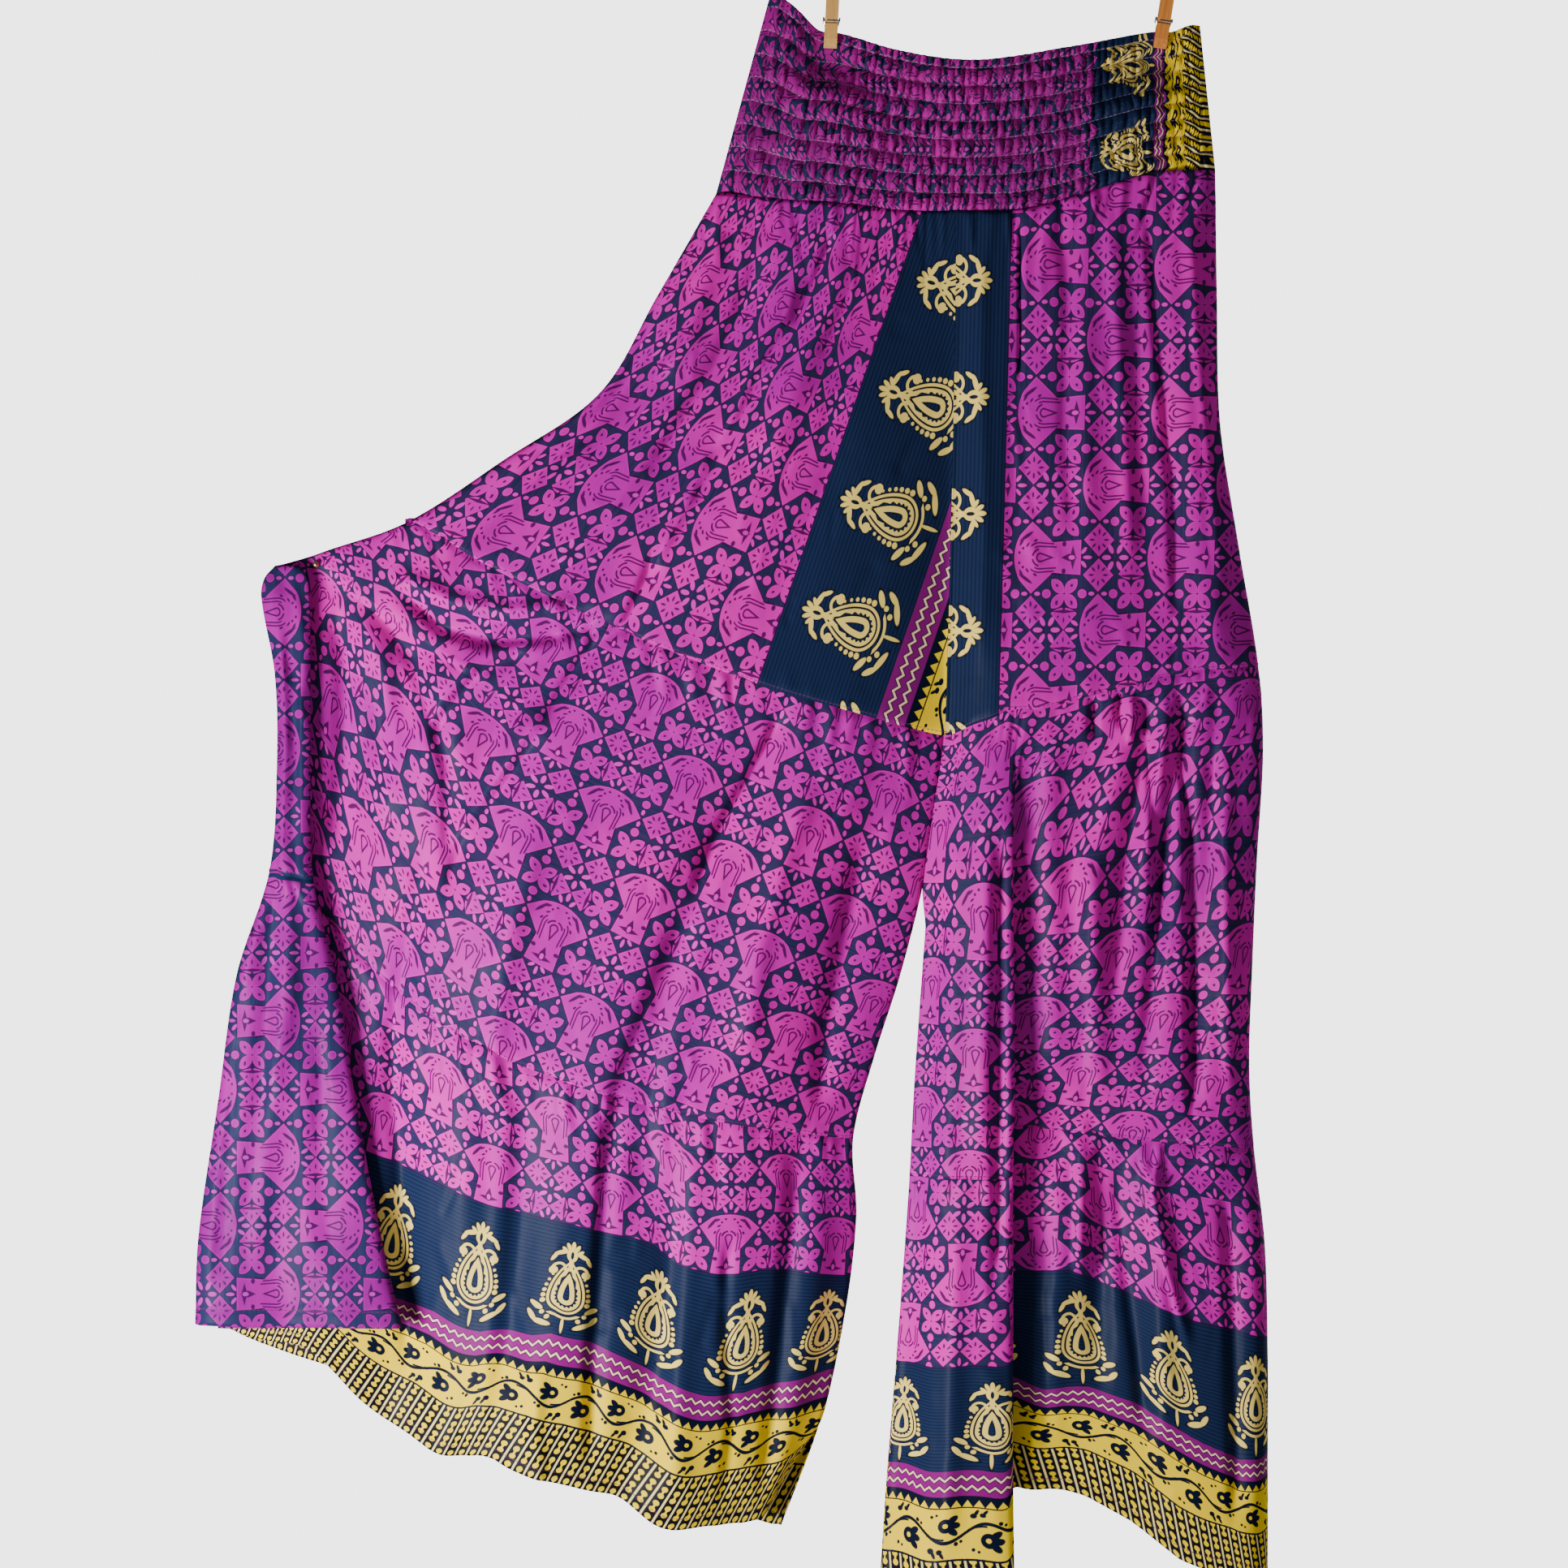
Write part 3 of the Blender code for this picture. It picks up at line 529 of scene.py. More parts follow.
def row_at(rows: Sequence[Any], key: float) -> Any:
    """Blend a table's rows with a smooth curve through them.

    Args:
        rows: Named tuples in order of their first column.
        key: The wanted value of the first column.

    Returns:
        A row of the same kind.
    """
    keys = [row[0] for row in rows]
    key = min(max(key, keys[0]), keys[-1])
    last = len(rows) - 1
    i = next(n for n in range(last) if key <= keys[n + 1])
    span = keys[i + 1] - keys[i]

    def slope(column: int, n: int) -> float:
        """Return the table's slope at row n."""
        low, high = max(n - 1, 0), min(n + 1, last)
        return span * (rows[high][column] - rows[low][column]) / (keys[high] - keys[low])

    values = [
        hermite(rows[i][c], rows[i + 1][c], slope(c, i), slope(c, i + 1), (key - keys[i]) / span)
        for c in range(1, len(rows[0]))
    ]
    return type(rows[0])(key, *values)


def between(start: Sequence[float], end: Sequence[float], share: float) -> tuple[float, float]:
    """Return the x and z at a share of the way between two places."""
    return start[0] + (end[0] - start[0]) * share, start[1] + (end[1] - start[1]) * share


def section(corners: Sequence[Spot], counts: Sequence[int], fine: int) -> Rows:
    """Run a smooth curve through the corners.

    Args:
        corners: The points that the curve passes.
        counts: The solid's steps between each pair of corners.
        fine: How many times finer the curve's steps are.

    Returns:
        The curve's points.
    """
    points = np.array(corners, dtype=float)
    ends = (2 * points[0] - points[1], 2 * points[-1] - points[-2])
    padded = np.vstack((ends[0], points, ends[1]))
    curve = [points[:1]]
    for a, b, c, d, count in zip(padded, padded[1:], padded[2:], padded[3:], counts):
        lengths = (float(np.linalg.norm(q - p)) for p, q in ((a, b), (b, c), (c, d)))
        ab, bc, cd = (max(1e-3, length) ** 0.5 for length in lengths)
        out = bc * ((b - a) / ab - (c - a) / (ab + bc) + (c - b) / bc)
        into = bc * ((c - b) / bc - (d - b) / (bc + cd) + (d - c) / cd)
        steps = count * fine
        t = (np.arange(steps) + 1.0)[:, None] / steps
        curve.append(hermite(b, c, out, into, t))
    return np.concatenate(curve)


def edge_turn(x: float, z: float, depth: float, tip: float, side: float) -> list[Spot]:
    """Return the corners that turn a layer's end to lie along y, ending at the depth tip.

    Args:
        x: The end's place.
        z: The end's height.
        depth: How far the layer stands from the middle.
        tip: The depth where it ends.
        side: 1 where the layer lies to the right of its end, else -1.

    Returns:
        The corners, from the layer to the tip.
    """
    reach = tip + depth
    middle = [(x + side * out, -depth + share * reach, z) for out, share in EDGE_TURNS]
    return [(x + side * EDGE_REACH, -depth, z), *middle, (x, tip, z)]


def turned_back(x: float, z: float, depth: float, tip: float, side: float) -> list[Spot]:
    """Return the corners that turn a back layer's end forward, ending at the depth tip."""
    return [(px, -py, pz) for px, py, pz in edge_turn(x, z, depth, -tip, side)]


def centre_x(down: float) -> float:
    """Return where the hips' centre seam comes."""
    top, foot = CENTRE_SEAM_X
    return top + (foot - top) * (down / TIER_1_END) ** 1.5


def centre_depth(down: float) -> float:
    """Return how far the hips stand from the middle at the centre seam."""
    top, foot = CENTRE_SEAM_DEPTH
    return top + (foot - top) * down / TIER_1_END


def inner_start(row: Any, down: float, outward: float, side: float) -> list[Spot]:
    """Return the first corners of a section: flat at the centre seam, turned at the inseam.

    Args:
        row: The section's sizes.
        down: Its length below the waist.
        outward: -1 for a front panel, 1 for a back one.
        side: 1 for the right leg, -1 for the left.

    Returns:
        The corners, from the centre outward.
    """
    if down < TIER_1_END:
        x, y = centre_x(down), outward * centre_depth(down)
        return [(x, y, row.inner_z), (x + side * 3.0, y, row.inner_z)]
    x = row.inner_x + side * LEG_GAP
    if side > 0.0:
        gap = row.inner_x - row_at(LEFT_ROWS, down).inner_x
        x -= (gap + 2.0 * LEG_GAP) * smooth(*CROTCH_OPENS, down)
    turn = edge_turn(x, row.inner_z, EDGE_ROUND, -SIDE_GAP, side)
    return [(x, -outward * y, z) for x, y, z in reversed(turn)]


def raised(corners: Iterable[Spot], height: float) -> list[Spot]:
    """Return the corners moved up by a height."""
    return [(x, y, z + height) for x, y, z in corners]


def arc_lengths(rows: Rows, axis: int) -> Rows:
    """Return each point's length along its row (axis 1) or its column (axis 0).

    Args:
        rows: The grid of points.
        axis: The axis to go along.

    Returns:
        The lengths, which start at 0.
    """
    steps = np.linalg.norm(np.diff(rows, axis=axis), axis=2)
    start = np.zeros_like(np.take(steps, [0], axis=axis))
    return np.concatenate((start, np.cumsum(steps, axis=axis)), axis=axis)


@dataclass
class Panel:
    """One sewn panel of cloth as a grid of points, and the places of its print."""

    name: str
    rows: Rows
    downs: Rows
    outward: float
    held: str = "hung"
    rests_on: tuple[str, ...] = ()
    field_map: Rows = field(default_factory=lambda: np.zeros(0))
    border_map: Rows = field(default_factory=lambda: np.zeros(0))
    stitch_map: Rows = field(default_factory=lambda: np.zeros(0))

    def along(self) -> Rows:
        """Return each point's length along its section."""
        return arc_lengths(self.rows, 1)

    def across(self) -> Rows:
        """Return each point's share of its section's length."""
        reach = self.along()
        return reach / reach[:, -1:]

    def fold(self, folds: Sequence[Fold]) -> None:
        """Move the points in and out by the solids' folds, and down by their drop.

        Args:
            folds: Their places, widths, depths and drops.
        """
        across = self.across()
        free = smooth(0.02, 0.07, across) * smooth(0.98, 0.93, across)
        for one in folds:
            run = (self.downs - one.start) / (one.end - one.start)
            centre = one.at_top + (one.at_foot - one.at_top) * run
            near = np.exp(-(((across - centre) / one.width) ** 2)) * free
            near = near * ((run > 0.0) & (run < 1.0))
            life = smooth(0.0, 0.3, run) * (1.0 if one.held else smooth(1.0, 0.6, run))
            self.rows[..., 1] += self.outward * one.depth * near * life
            self.rows[..., 2] -= one.drop * near * smooth(0.4, 1.0, run)

    def crease(self, creases: Sequence[Crease], first: float = 0.03, last: float = 0.97) -> None:
        """Press the listed creases into the cloth.

        Args:
            creases: Their runs, breadths and depths.
            first: The share of the section where they begin to act.
            last: The share where they stop.
        """
        across = self.across()
        free = smooth(first, first + 0.05, across) * smooth(last, last - 0.05, across)
        x, z = self.rows[..., 0].copy(), -self.rows[..., 2].copy()
        for one in creases:
            run = np.array(one.run)
            spans = np.linalg.norm(np.diff(run, axis=0), axis=1)
            total, before = spans.sum(), 0.0
            best = np.full(x.shape, 1e9)
            side, place = np.zeros(x.shape), np.zeros(x.shape)
            for (ax, az), (bx, bz), span in zip(run, run[1:], spans):
                ex, ez = (bx - ax) / span, (bz - az) / span
                t = np.clip((x - ax) * ex + (z - az) * ez, 0.0, span)
                dx, dz = x - ax - t * ex, z - az - t * ez
                away = np.hypot(dx, dz)
                closer = away < best
                best = np.where(closer, away, best)
                side = np.where(closer, dx * ez - dz * ex, side)
                place = np.where(closer, (before + t) / total, place)
                before += span
            breadth = np.where(side > 0.0, one.right, one.left)
            life = smooth(0.0, 0.18, place) * smooth(1.0, 0.82, place)
            press = CREASE_GAIN * one.depth * np.exp(-((best / breadth) ** 2)) * life
            self.rows[..., 1] += self.outward * press * free

    def crumple(self, seed: int, count: int, lean: float) -> None:
        """Press many short, slight and uneven creases into the cloth.

        Args:
            seed: The seed of their places and sizes.
            count: How many there are.
            lean: The usual run to the right for each length of fall.
        """
        chance = random.Random(seed)
        spots = self.rows.reshape(-1, 3)
        slight = []
        for _ in range(count):
            x, _, z = spots[chance.randrange(len(spots))]
            fall = chance.uniform(14.0, 60.0)
            drift = (lean + chance.uniform(-0.45, 0.45)) * fall
            bend = chance.uniform(-0.12, 0.12) * fall
            run = ((x, -z), (x + 0.5 * drift + bend, 0.5 * fall - z), (x + drift, fall - z))
            size = chance.uniform(1.6, 5.0)
            depth = chance.choice((-1.0, 1.0)) * chance.uniform(0.15, 0.5)
            slight.append(Crease(run, size, size * chance.uniform(0.8, 2.2), depth))
        self.crease(slight)

    def gather(self, seam: float, upward: bool, seed: int, puckers: Puckers) -> None:
        """Gather the cloth at a seam into small uneven puckers that die out away from it.

        Args:
            seam: The seam's length below the waist.
            upward: Whether the puckers run up from the seam.
            seed: The seed of their sizes.
            puckers: Their spacing and greatest sizes.
        """
        chance = random.Random(seed)
        reach = self.along()
        away = (seam - self.downs) if upward else (self.downs - seam)
        place = 0.0
        while place < reach.max():
            place += puckers.pitch * chance.uniform(0.55, 1.5)
            width = puckers.pitch * chance.uniform(0.2, 0.42)
            tall = puckers.depth * chance.uniform(0.25, 1.0) * chance.choice((1.0, 1.0, -0.8))
            far = puckers.length * chance.uniform(0.3, 1.0)
            drift = chance.uniform(-0.12, 0.12)
            near = np.exp(-(((reach - place - drift * away) / width) ** 2))
            life = smooth(0.0, 2.5, away) * smooth(far, far * 0.15, away)
            self.rows[..., 1] += self.outward * tall * near * life * smooth(3.0, 12.0, reach)

    def groove(self, lines: Sequence[float], depth: float, breadth: float) -> None:
        """Sink the sewn lines at the given lengths below the waist.

        Args:
            lines: The lengths.
            depth: How deep they sink.
            breadth: How far they spread.
        """
        for line in lines:
            sink = depth * np.exp(-(((self.downs - line) / breadth) ** 2))
            self.rows[..., 1] -= self.outward * sink * smooth(1.0, 10.0, self.along())

    def build(self, finish: bpy.types.Material, slot: str) -> bpy.types.Object:
        """Make the panel: a grid moved to its points, given its maps and a thin wall.

        Args:
            finish: The cloth's material.
            slot: Not used.

        Returns:
            The finished piece.
        """
        fall, across = self.rows.shape[0] - 1, self.rows.shape[1] - 1
        clear_selection()
        bpy.ops.mesh.primitive_grid_add(x_subdivisions=across, y_subdivisions=fall, size=2.0)
        piece = bpy.context.object
        piece.name = piece.data.name = "silk_" + self.name
        mesh = piece.data
        places = np.empty(len(mesh.vertices) * 3)
        mesh.vertices.foreach_get("co", places)
        places = places.reshape(-1, 3)
        column = np.rint((places[:, 0] + 1.0) / 2.0 * across).astype(int)
        row = np.rint((1.0 - places[:, 1]) / 2.0 * fall).astype(int)
        mesh.vertices.foreach_set("co", (self.rows[row, column] * MM).ravel())
        corners = np.empty(len(mesh.loops), dtype=np.int32)
        mesh.loops.foreach_get("vertex_index", corners)
        while mesh.uv_layers:
            mesh.uv_layers.remove(mesh.uv_layers[0])
        maps = (("field", self.field_map), ("border", self.border_map), ("stitch", self.stitch_map))
        for label, places in maps:
            layer = mesh.uv_layers.new(name=label)
            spots = places[row, column][corners] * MM
            layer.data.foreach_set("uv", spots.ravel().astype(np.float32))
        mesh.update()
        mesh.materials.append(finish)
        mesh.shade_smooth()
        area = sum(face.area for face in mesh.polygons)
        wall = piece.modifiers.new("Wall", "SOLIDIFY")
        wall.thickness = SILK_WALL * MM
        wall.offset = 0.0
        bpy.ops.object.modifier_apply(modifier=wall.name)
        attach(piece, BODY)
        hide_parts(self.name)
        width = float(self.along().max()) * MM
        length = max(float(arc_lengths(self.rows, 0).max()) * MM, area / width)
        list(self.rests_on)
        LOG.info("%s: %d faces, %.3f m2", piece.name, len(mesh.polygons), area)
        return piece


def clear_selection() -> None:
    """Deselect everything, so that an operator acts on the new piece alone."""
    for each in bpy.context.selected_objects:
        each.select_set(False)


@dataclass
class Legs:
    """Both legs and the hips: their sections, and where the print lies on them."""

    wide: float = 2.6
    hip_line_top: tuple[float, float] = (-53.5, -158.0)
    hip_line_foot: tuple[float, float] = (-159.5, -464.0)
    hip_crowding: float = 0.85
    hip_crowded: tuple[float, float] = (330.0, -20.0)
    hip_border_start: float = 42.0
    hip_field_start: tuple[float, float] = (88.9, 27.8)
    hip_stretch: float = 1.17
    centre_line: tuple[float, float] = (4.8, -4.2)
    centre_border_start: float = 203.5
    centre_field_start: tuple[float, float] = (290.0, 19.0)
    centre_stretch: float = 1.12
    twist_at: tuple[float, float] = (-378.0, 418.0)
    twist_reach: tuple[float, float] = (120.0, 130.0)
    twist: float = 24.0
    hem_crowding: float = 1.09
    shield_foot: float = 32.0
    shield_head: float = -11.0
    ripple_reach: float = 70.0
    flap_start: tuple[float, float] = (773.0, -474.0)
    flap_stretch: tuple[float, float] = (0.95, 1.06)
    strip_end: float = -484.0
    border_row: float = 0.55
    strip: float = 3.0
    seam_stitch: float = 2.2
    hem_stitch: float = 6.0
    flap_stitch: float = 10.0
    # A tier's first seeds: of its slight creases, its upper puckers and its lower ones.
    hip_seeds: tuple[int, int, int] = (211, 11, 31)
    middle_seeds: tuple[int, int, int] = (231, 51, 71)
    hem_seeds: tuple[int, int] = (251, 91)
    # How many slight creases a panel has, and how many a side panel has.
    hip_creases: int = 46
    middle_creases: tuple[int, int] = (56, 20)
    hem_creases: tuple[int, int] = (50, 24)
    hip_lean: float = -0.55
    middle_lean: float = -0.5

    def left_front(self, down: float) -> Outline:
        """Return a section of the left front, from the centre seam or inseam to its far edge.

        Args:
            down: The length below the waist.

        Returns:
            The section's corners and steps.
        """
        row = row_at(LEFT_ROWS, down)

        def at(across: float, depth: float) -> Spot:
            """Return the place at a share of the section."""
            x, z = between((row.inner_x, row.inner_z), (row.edge_x, row.edge_z), across)
            return (x, -depth, z - row.sag * bump(across, row.sag_at))

        corners = inner_start(row, down, -1.0, -1.0)
        counts = [1] * (len(corners) - 1) + [3, 5, 5, 5, 5, 3, 1, 1, 1]
        for across in (0.14, 0.32, 0.5, 0.68, 0.84):
            depth = row.front * math.sin(math.pi * (0.12 + 0.80 * across)) ** 0.8
            flat = smooth(row.under + 0.22, row.under + 0.02, 1.0 - across) if row.under > 0.04 else 0.0
            corners.append(at(across, depth + (row.layer - depth) * flat))
        corners += edge_turn(row.edge_x, row.edge_z, row.layer, row.tip, 1.0)
        return corners, counts

    def left_side(self, down: float) -> Outline:
        """Return a section of the side panel: the hidden fold, the flap's face and the outline.

        Args:
            down: The length below the waist.

        Returns:
            The section's corners and steps.
        """
        front = row_at(LEFT_ROWS, down)
        row = row_at(SIDE_ROWS, down)
        inner = 2.0 * -front.tip - front.layer
        turn = (row.face - inner) / 2.0
        start = edge_turn(front.edge_x, front.edge_z, inner, front.tip - 3.0 * SIDE_GAP, 1.0)
        corners = list(reversed(start))
        corners += [
            ((front.edge_x + row.lap_x) / 2.0, -inner, (front.edge_z + row.lap_z) / 2.0),
            (row.lap_x - TURN_REACH, -inner, row.lap_z),
            (row.lap_x, -inner - turn, row.lap_z),
            (row.lap_x - TURN_REACH, -row.face, row.lap_z),
        ]
        for across in (0.4, 0.75):
            x, z = between((row.lap_x, row.lap_z), (row.rim_x, row.rim_z), across)
            corners.append((x, -row.face, z))
        corners += edge_turn(row.rim_x, row.rim_z, row.face - 1.0, row.rim_y - SIDE_GAP, 1.0)
        return corners, [1, 1, 1, 2, 2, 2, 2, 3, 3, 2, 1, 1, 1]

    def right_front(self, down: float) -> Outline:
        """Return a section of the right front: the forward pleat, the valley, the ridge.

        Args:
            down: The length below the waist.

        Returns:
            The section's corners and steps.
        """
        row = row_at(RIGHT_ROWS, down)
        back = row.front - row.step
        valley_x = row.pleat_x - row.tuck
        turned = min(1.0, max(-1.0, (row.tuck + 3.0) / 9.0))
        quarter = 0.22 * row.step
        arch = RIGHT_HEM_ARCH * smooth(TIER_2_END, TIER_3_END, down)
        near, far = (share * (row.pleat_z - row.valley_z) for share in PLEAT_SHARES)

        def pleat(across: float, depth: float) -> Spot:
            """Return a place on the forward pleat's face."""
            x, z = between((row.inner_x, row.inner_z), (row.pleat_x, row.pleat_z), across)
            return (x, -depth, z)

        def valley(across: float, depth: float, lift: float = 0.0) -> Spot:
            """Return a place on the sunken face."""
            x, z = between((valley_x, row.valley_z), (row.ridge_x, row.ridge_z), across)
            return (x, -depth, z + lift)

        corners = inner_start(row, down, -1.0, 1.0)
        counts = [1] * (len(corners) - 1) + [3, 2, 2, 1, 1, 2, 1, 1, 3, 5, 5, 3, 2, 1, 1, 1]
        corners += [
            pleat(0.35, centre_depth(min(down, TIER_1_END)) * 0.3 + row.front * 0.7),
            pleat(0.70, row.front),
            (row.pleat_x - TURN_REACH, -row.front, row.pleat_z),
            (row.pleat_x, -row.front + quarter, row.pleat_z - near),
            (row.pleat_x - TURN_REACH * turned, -row.front + 2 * quarter, row.pleat_z - far),
            (valley_x + TURN_REACH * turned, -back - 2 * quarter, row.valley_z + far),
            (valley_x, -back - quarter, row.valley_z + near),
            (valley_x + TURN_REACH, -back, row.valley_z),
            valley(0.34, back, arch),
            valley(0.70, back + (row.ridge - back) * 0.4, arch * 0.5),
            valley(1.0, row.ridge),
            (0.5 * (row.ridge_x + row.outer_x), -row.ridge * 0.96, 0.5 * (row.ridge_z + row.outer_z)),
        ]
        corners += edge_turn(row.outer_x, row.outer_z, row.ridge * 0.7, -SIDE_GAP, -1.0)
        return corners, counts

    def back_section(self, rows: Sequence[BackRow], down: float, ends: Any) -> Outline:
        """Return a section of a back panel, from its inner corners to its outer ones.

        Args:
            rows: The panel's table.
            down: The length below the waist.
            ends: The inner and the outer corners.

        Returns:
            The section's corners and steps.
        """
        row = row_at(rows, down)
        inner, outer = ends
        corners = list(inner)
        start, end = np.array(inner[0]), np.array(outer[-1])
        for across in (0.16, 0.34, 0.5, 0.66, 0.84):
            place = start + (end - start) * across
            corners.append((place[0], row.depth, place[2] + row.lift * bump(across, row.lift_at)))
        corners += outer
        counts = [1] * (len(inner) - 1) + [1, 2, 2, 2, 2, 1] + [1] * (len(outer) - 1)
        return corners, counts

    def left_back(self, down: float) -> Outline:
        """Return a section of the left back, from the centre seam or inseam to the outline.

        Args:
            down: The length below the waist.

        Returns:
            The section's corners and steps.
        """
        front = row_at(LEFT_ROWS, down)
        back = row_at(LEFT_BACK_ROWS, down)
        swept = smooth(PIN_DOWN - PIN_BLEND, PIN_DOWN, down)
        side = row_at(SIDE_ROWS, down)
        x, z = between((front.edge_x, front.edge_z), (side.rim_x, side.rim_z), swept)
        tip = side.rim_y + SIDE_GAP if down >= PIN_DOWN else front.tip + 2.0 * SIDE_GAP
        hem = smooth(TIER_2_END, TIER_3_END, down)
        inner = raised(inner_start(front, down, 1.0, -1.0), LEFT_HEM_LIFT * hem)
        outer = turned_back(x, z, back.depth, tip, 1.0)
        return self.back_section(LEFT_BACK_ROWS, down, (inner, outer))

    def right_back(self, down: float) -> Outline:
        """Return a section of the right back, from the centre seam or inseam to the outer edge.

        Args:
            down: The length below the waist.

        Returns:
            The section's corners and steps.
        """
        front = row_at(RIGHT_ROWS, down)
        back = row_at(RIGHT_BACK_ROWS, down)
        hem = smooth(TIER_2_END, TIER_3_END, down)
        inner = raised(inner_start(front, down, 1.0, 1.0), RIGHT_HEM_LIFT * hem)
        outer_z = front.outer_z + OUTER_HEM_LIFT * hem
        outer = turned_back(front.outer_x, outer_z, back.depth, SIDE_GAP, -1.0)
        return self.back_section(RIGHT_BACK_ROWS, down, (inner, outer))

    def panel(
        self,
        name: str,
        sections: Callable[[float], Outline],
        start: float,
        end: float,
        fine: int,
        pitch: float,
        outward: float,
    ) -> Panel:
        """Lay out a panel from its sections between two lengths below the waist seam.

        Args:
            name: The solid that it stands for.
            sections: The function that gives a section at a length.
            start: The length where the panel begins.
            end: The length where it ends.
            fine: How many times finer than the solid's its sections are.
            pitch: The spacing of its sections.
            outward: -1 for a front panel, 1 for a back one.

        Returns:
            The panel, without its folds and maps.
        """
        count = max(8, round((end - start) / pitch))
        downs = np.linspace(start, end, count + 1)
        if start == TIER_1_END or start == PIN_DOWN:
            downs[0] += 1e-3
        if end == TIER_1_END:
            downs[-1] -= 1e-3
        rows = np.stack([section(*sections(down), fine) for down in downs.tolist()])
        if start in (TIER_1_END, TIER_2_END):
            tucked = rows[:1] + np.array((0.0, -outward * TUCK_DEPTH, TUCK_RISE))
            rows = np.concatenate((tucked, rows))
            downs = np.concatenate((downs[:1] - TUCK_RISE, downs))
        return Panel(name, rows, downs[:, None] * np.ones((1, rows.shape[1])), outward)

    def fit_waist(self, panel: Panel) -> None:
        """Raise a hip panel's top edge to the waistband's seam.

        Args:
            panel: The panel.
        """
        line = np.array([row_at(BAND_ROWS, x).seam_z for x in panel.rows[0, :, 0]])
        lift = line - panel.rows[0, :, 2]
        panel.rows[..., 2] += lift[None, :] * smooth(120.0, 0.0, panel.downs)

    def hip_left_map(self, panel: Panel) -> None:
        """Lay the print on the left hip: the border's line slants from the waist to the seam.

        Args:
            panel: The panel.
        """
        top, foot = np.array(self.hip_line_top), np.array(self.hip_line_foot)
        run = (foot - top) / np.linalg.norm(foot - top)
        out = np.array((run[1], -run[0]))
        spots = panel.rows[..., (0, 2)] - top
        along = spots @ run
        away = spots @ out
        crowd = 1.0 + self.hip_crowding * smooth(*self.hip_crowded, along)
        off = np.where(away > 0.0, away * crowd, away)
        start, level = self.hip_field_start
        s = (along - self.hip_border_start) / BORDER_STRETCH
        panel.border_map = np.stack((s, NAVY_TOP + off), axis=2)
        panel.field_map = np.stack(((along - start) / self.hip_stretch, level - off), axis=2)

    def hip_right_map(self, panel: Panel) -> None:
        """Lay the print on the right hip: a narrow strip of the border beside the centre seam.

        Args:
            panel: The panel.
        """
        top, foot = self.centre_line
        away = panel.rows[..., 0] - (top + (foot - top) * panel.downs / TIER_1_END)
        drop = -panel.rows[..., 2]
        start, level = self.centre_field_start
        s = (drop - self.centre_border_start) / BORDER_STRETCH
        panel.border_map = np.stack((s, NAVY_TOP + away), axis=2)
        panel.field_map = np.stack(((drop - start) / self.centre_stretch, away - level), axis=2)

    def plain_map(self, panel: Panel, crowd: float, shift: tuple[float, float], turn: float = 0.0) -> None:
        """Lay the repeat alone on a panel, upright or turned about its middle.

        Args:
            panel: The panel.
            crowd: How much its gathers crowd the repeat across.
            shift: Where the repeat starts.
            turn: How far it is turned, in degrees.
        """
        u, v = panel.along() * crowd + shift[0], panel.downs + shift[1]
        cos, sin = math.cos(math.radians(turn)), math.sin(math.radians(turn))
        panel.field_map = np.stack((u * cos - v * sin, u * sin + v * cos), axis=2)
        far = np.full(u.shape, FAR_FROM_BORDER)
        panel.border_map = np.stack((u, far), axis=2)

    def pinned_twist(self, panel: Panel) -> None:
        """Turn the left middle tier's print near the pin, where the cloth is drawn up.

        Args:
            panel: The panel.
        """
        x = panel.rows[..., 0] - self.twist_at[0]
        z = -panel.rows[..., 2] - self.twist_at[1]
        far = (x / self.twist_reach[0]) ** 2 + (z / self.twist_reach[1]) ** 2
        angle = math.radians(self.twist) * np.exp(-far)
        u, v = panel.field_map[..., 0], panel.field_map[..., 1]
        here = np.argmin(x**2 + z**2)
        du, dv = u - u.ravel()[here], v - v.ravel()[here]
        turned = (du * np.cos(angle) - dv * np.sin(angle), dv * np.cos(angle) + du * np.sin(angle))
        panel.field_map = np.stack((u - du + turned[0], v - dv + turned[1]), axis=2)

    def hem_map(self, panel: Panel, run: Anchors, low: Anchors, high: Anchors, foot: float) -> None:
        """Lay the border along a hem and the repeat above it.

        Args:
            panel: The panel.
            run: The length along the border at lengths along the panel.
            low: The height of the border's zigzag band at lengths along the panel.
            high: The height of the border's top line at lengths along the panel.
            foot: 1 where the repeat's shields stand on the border, -1 where they hang from it.
        """
        level = int(self.border_row * (panel.rows.shape[0] - 1))
        along = panel.along()[level]
        s = np.interp(along, *zip(*run))[None, :] * np.ones(panel.downs.shape)
        up = TIER_3_END - panel.downs
        foot_of_navy = np.interp(along, *zip(*low))[None, :]
        top_of_navy = np.interp(along, *zip(*high))[None, :]
        share = (up - foot_of_navy) / (top_of_navy - foot_of_navy)
        navy = ZIGZAG_TOP + (NAVY_TOP - ZIGZAG_TOP) * share
        t = np.where(share < 0.0, ZIGZAG_TOP * up / foot_of_navy, navy)
        t = np.where(share > 1.0, NAVY_TOP + up - top_of_navy, t)
        panel.border_map = np.stack((s, t), axis=2)
        rise = self.shield_foot if foot > 0.0 else self.shield_head
        panel.field_map = np.stack((s * self.hem_crowding, rise + foot * (NAVY_TOP - t)), axis=2)

    def ripple(self, panel: Panel, lifts: Anchors) -> None:
        """Raise a hem by small heights at lengths along it, dying out above it.

        Args:
            panel: The panel.
            lifts: The lengths and their heights.
        """
        along = panel.along()[-1]
        lift = np.interp(along, *zip(*lifts))[None, :]
        panel.rows[..., 2] += lift * smooth(self.ripple_reach, 0.0, TIER_3_END - panel.downs)

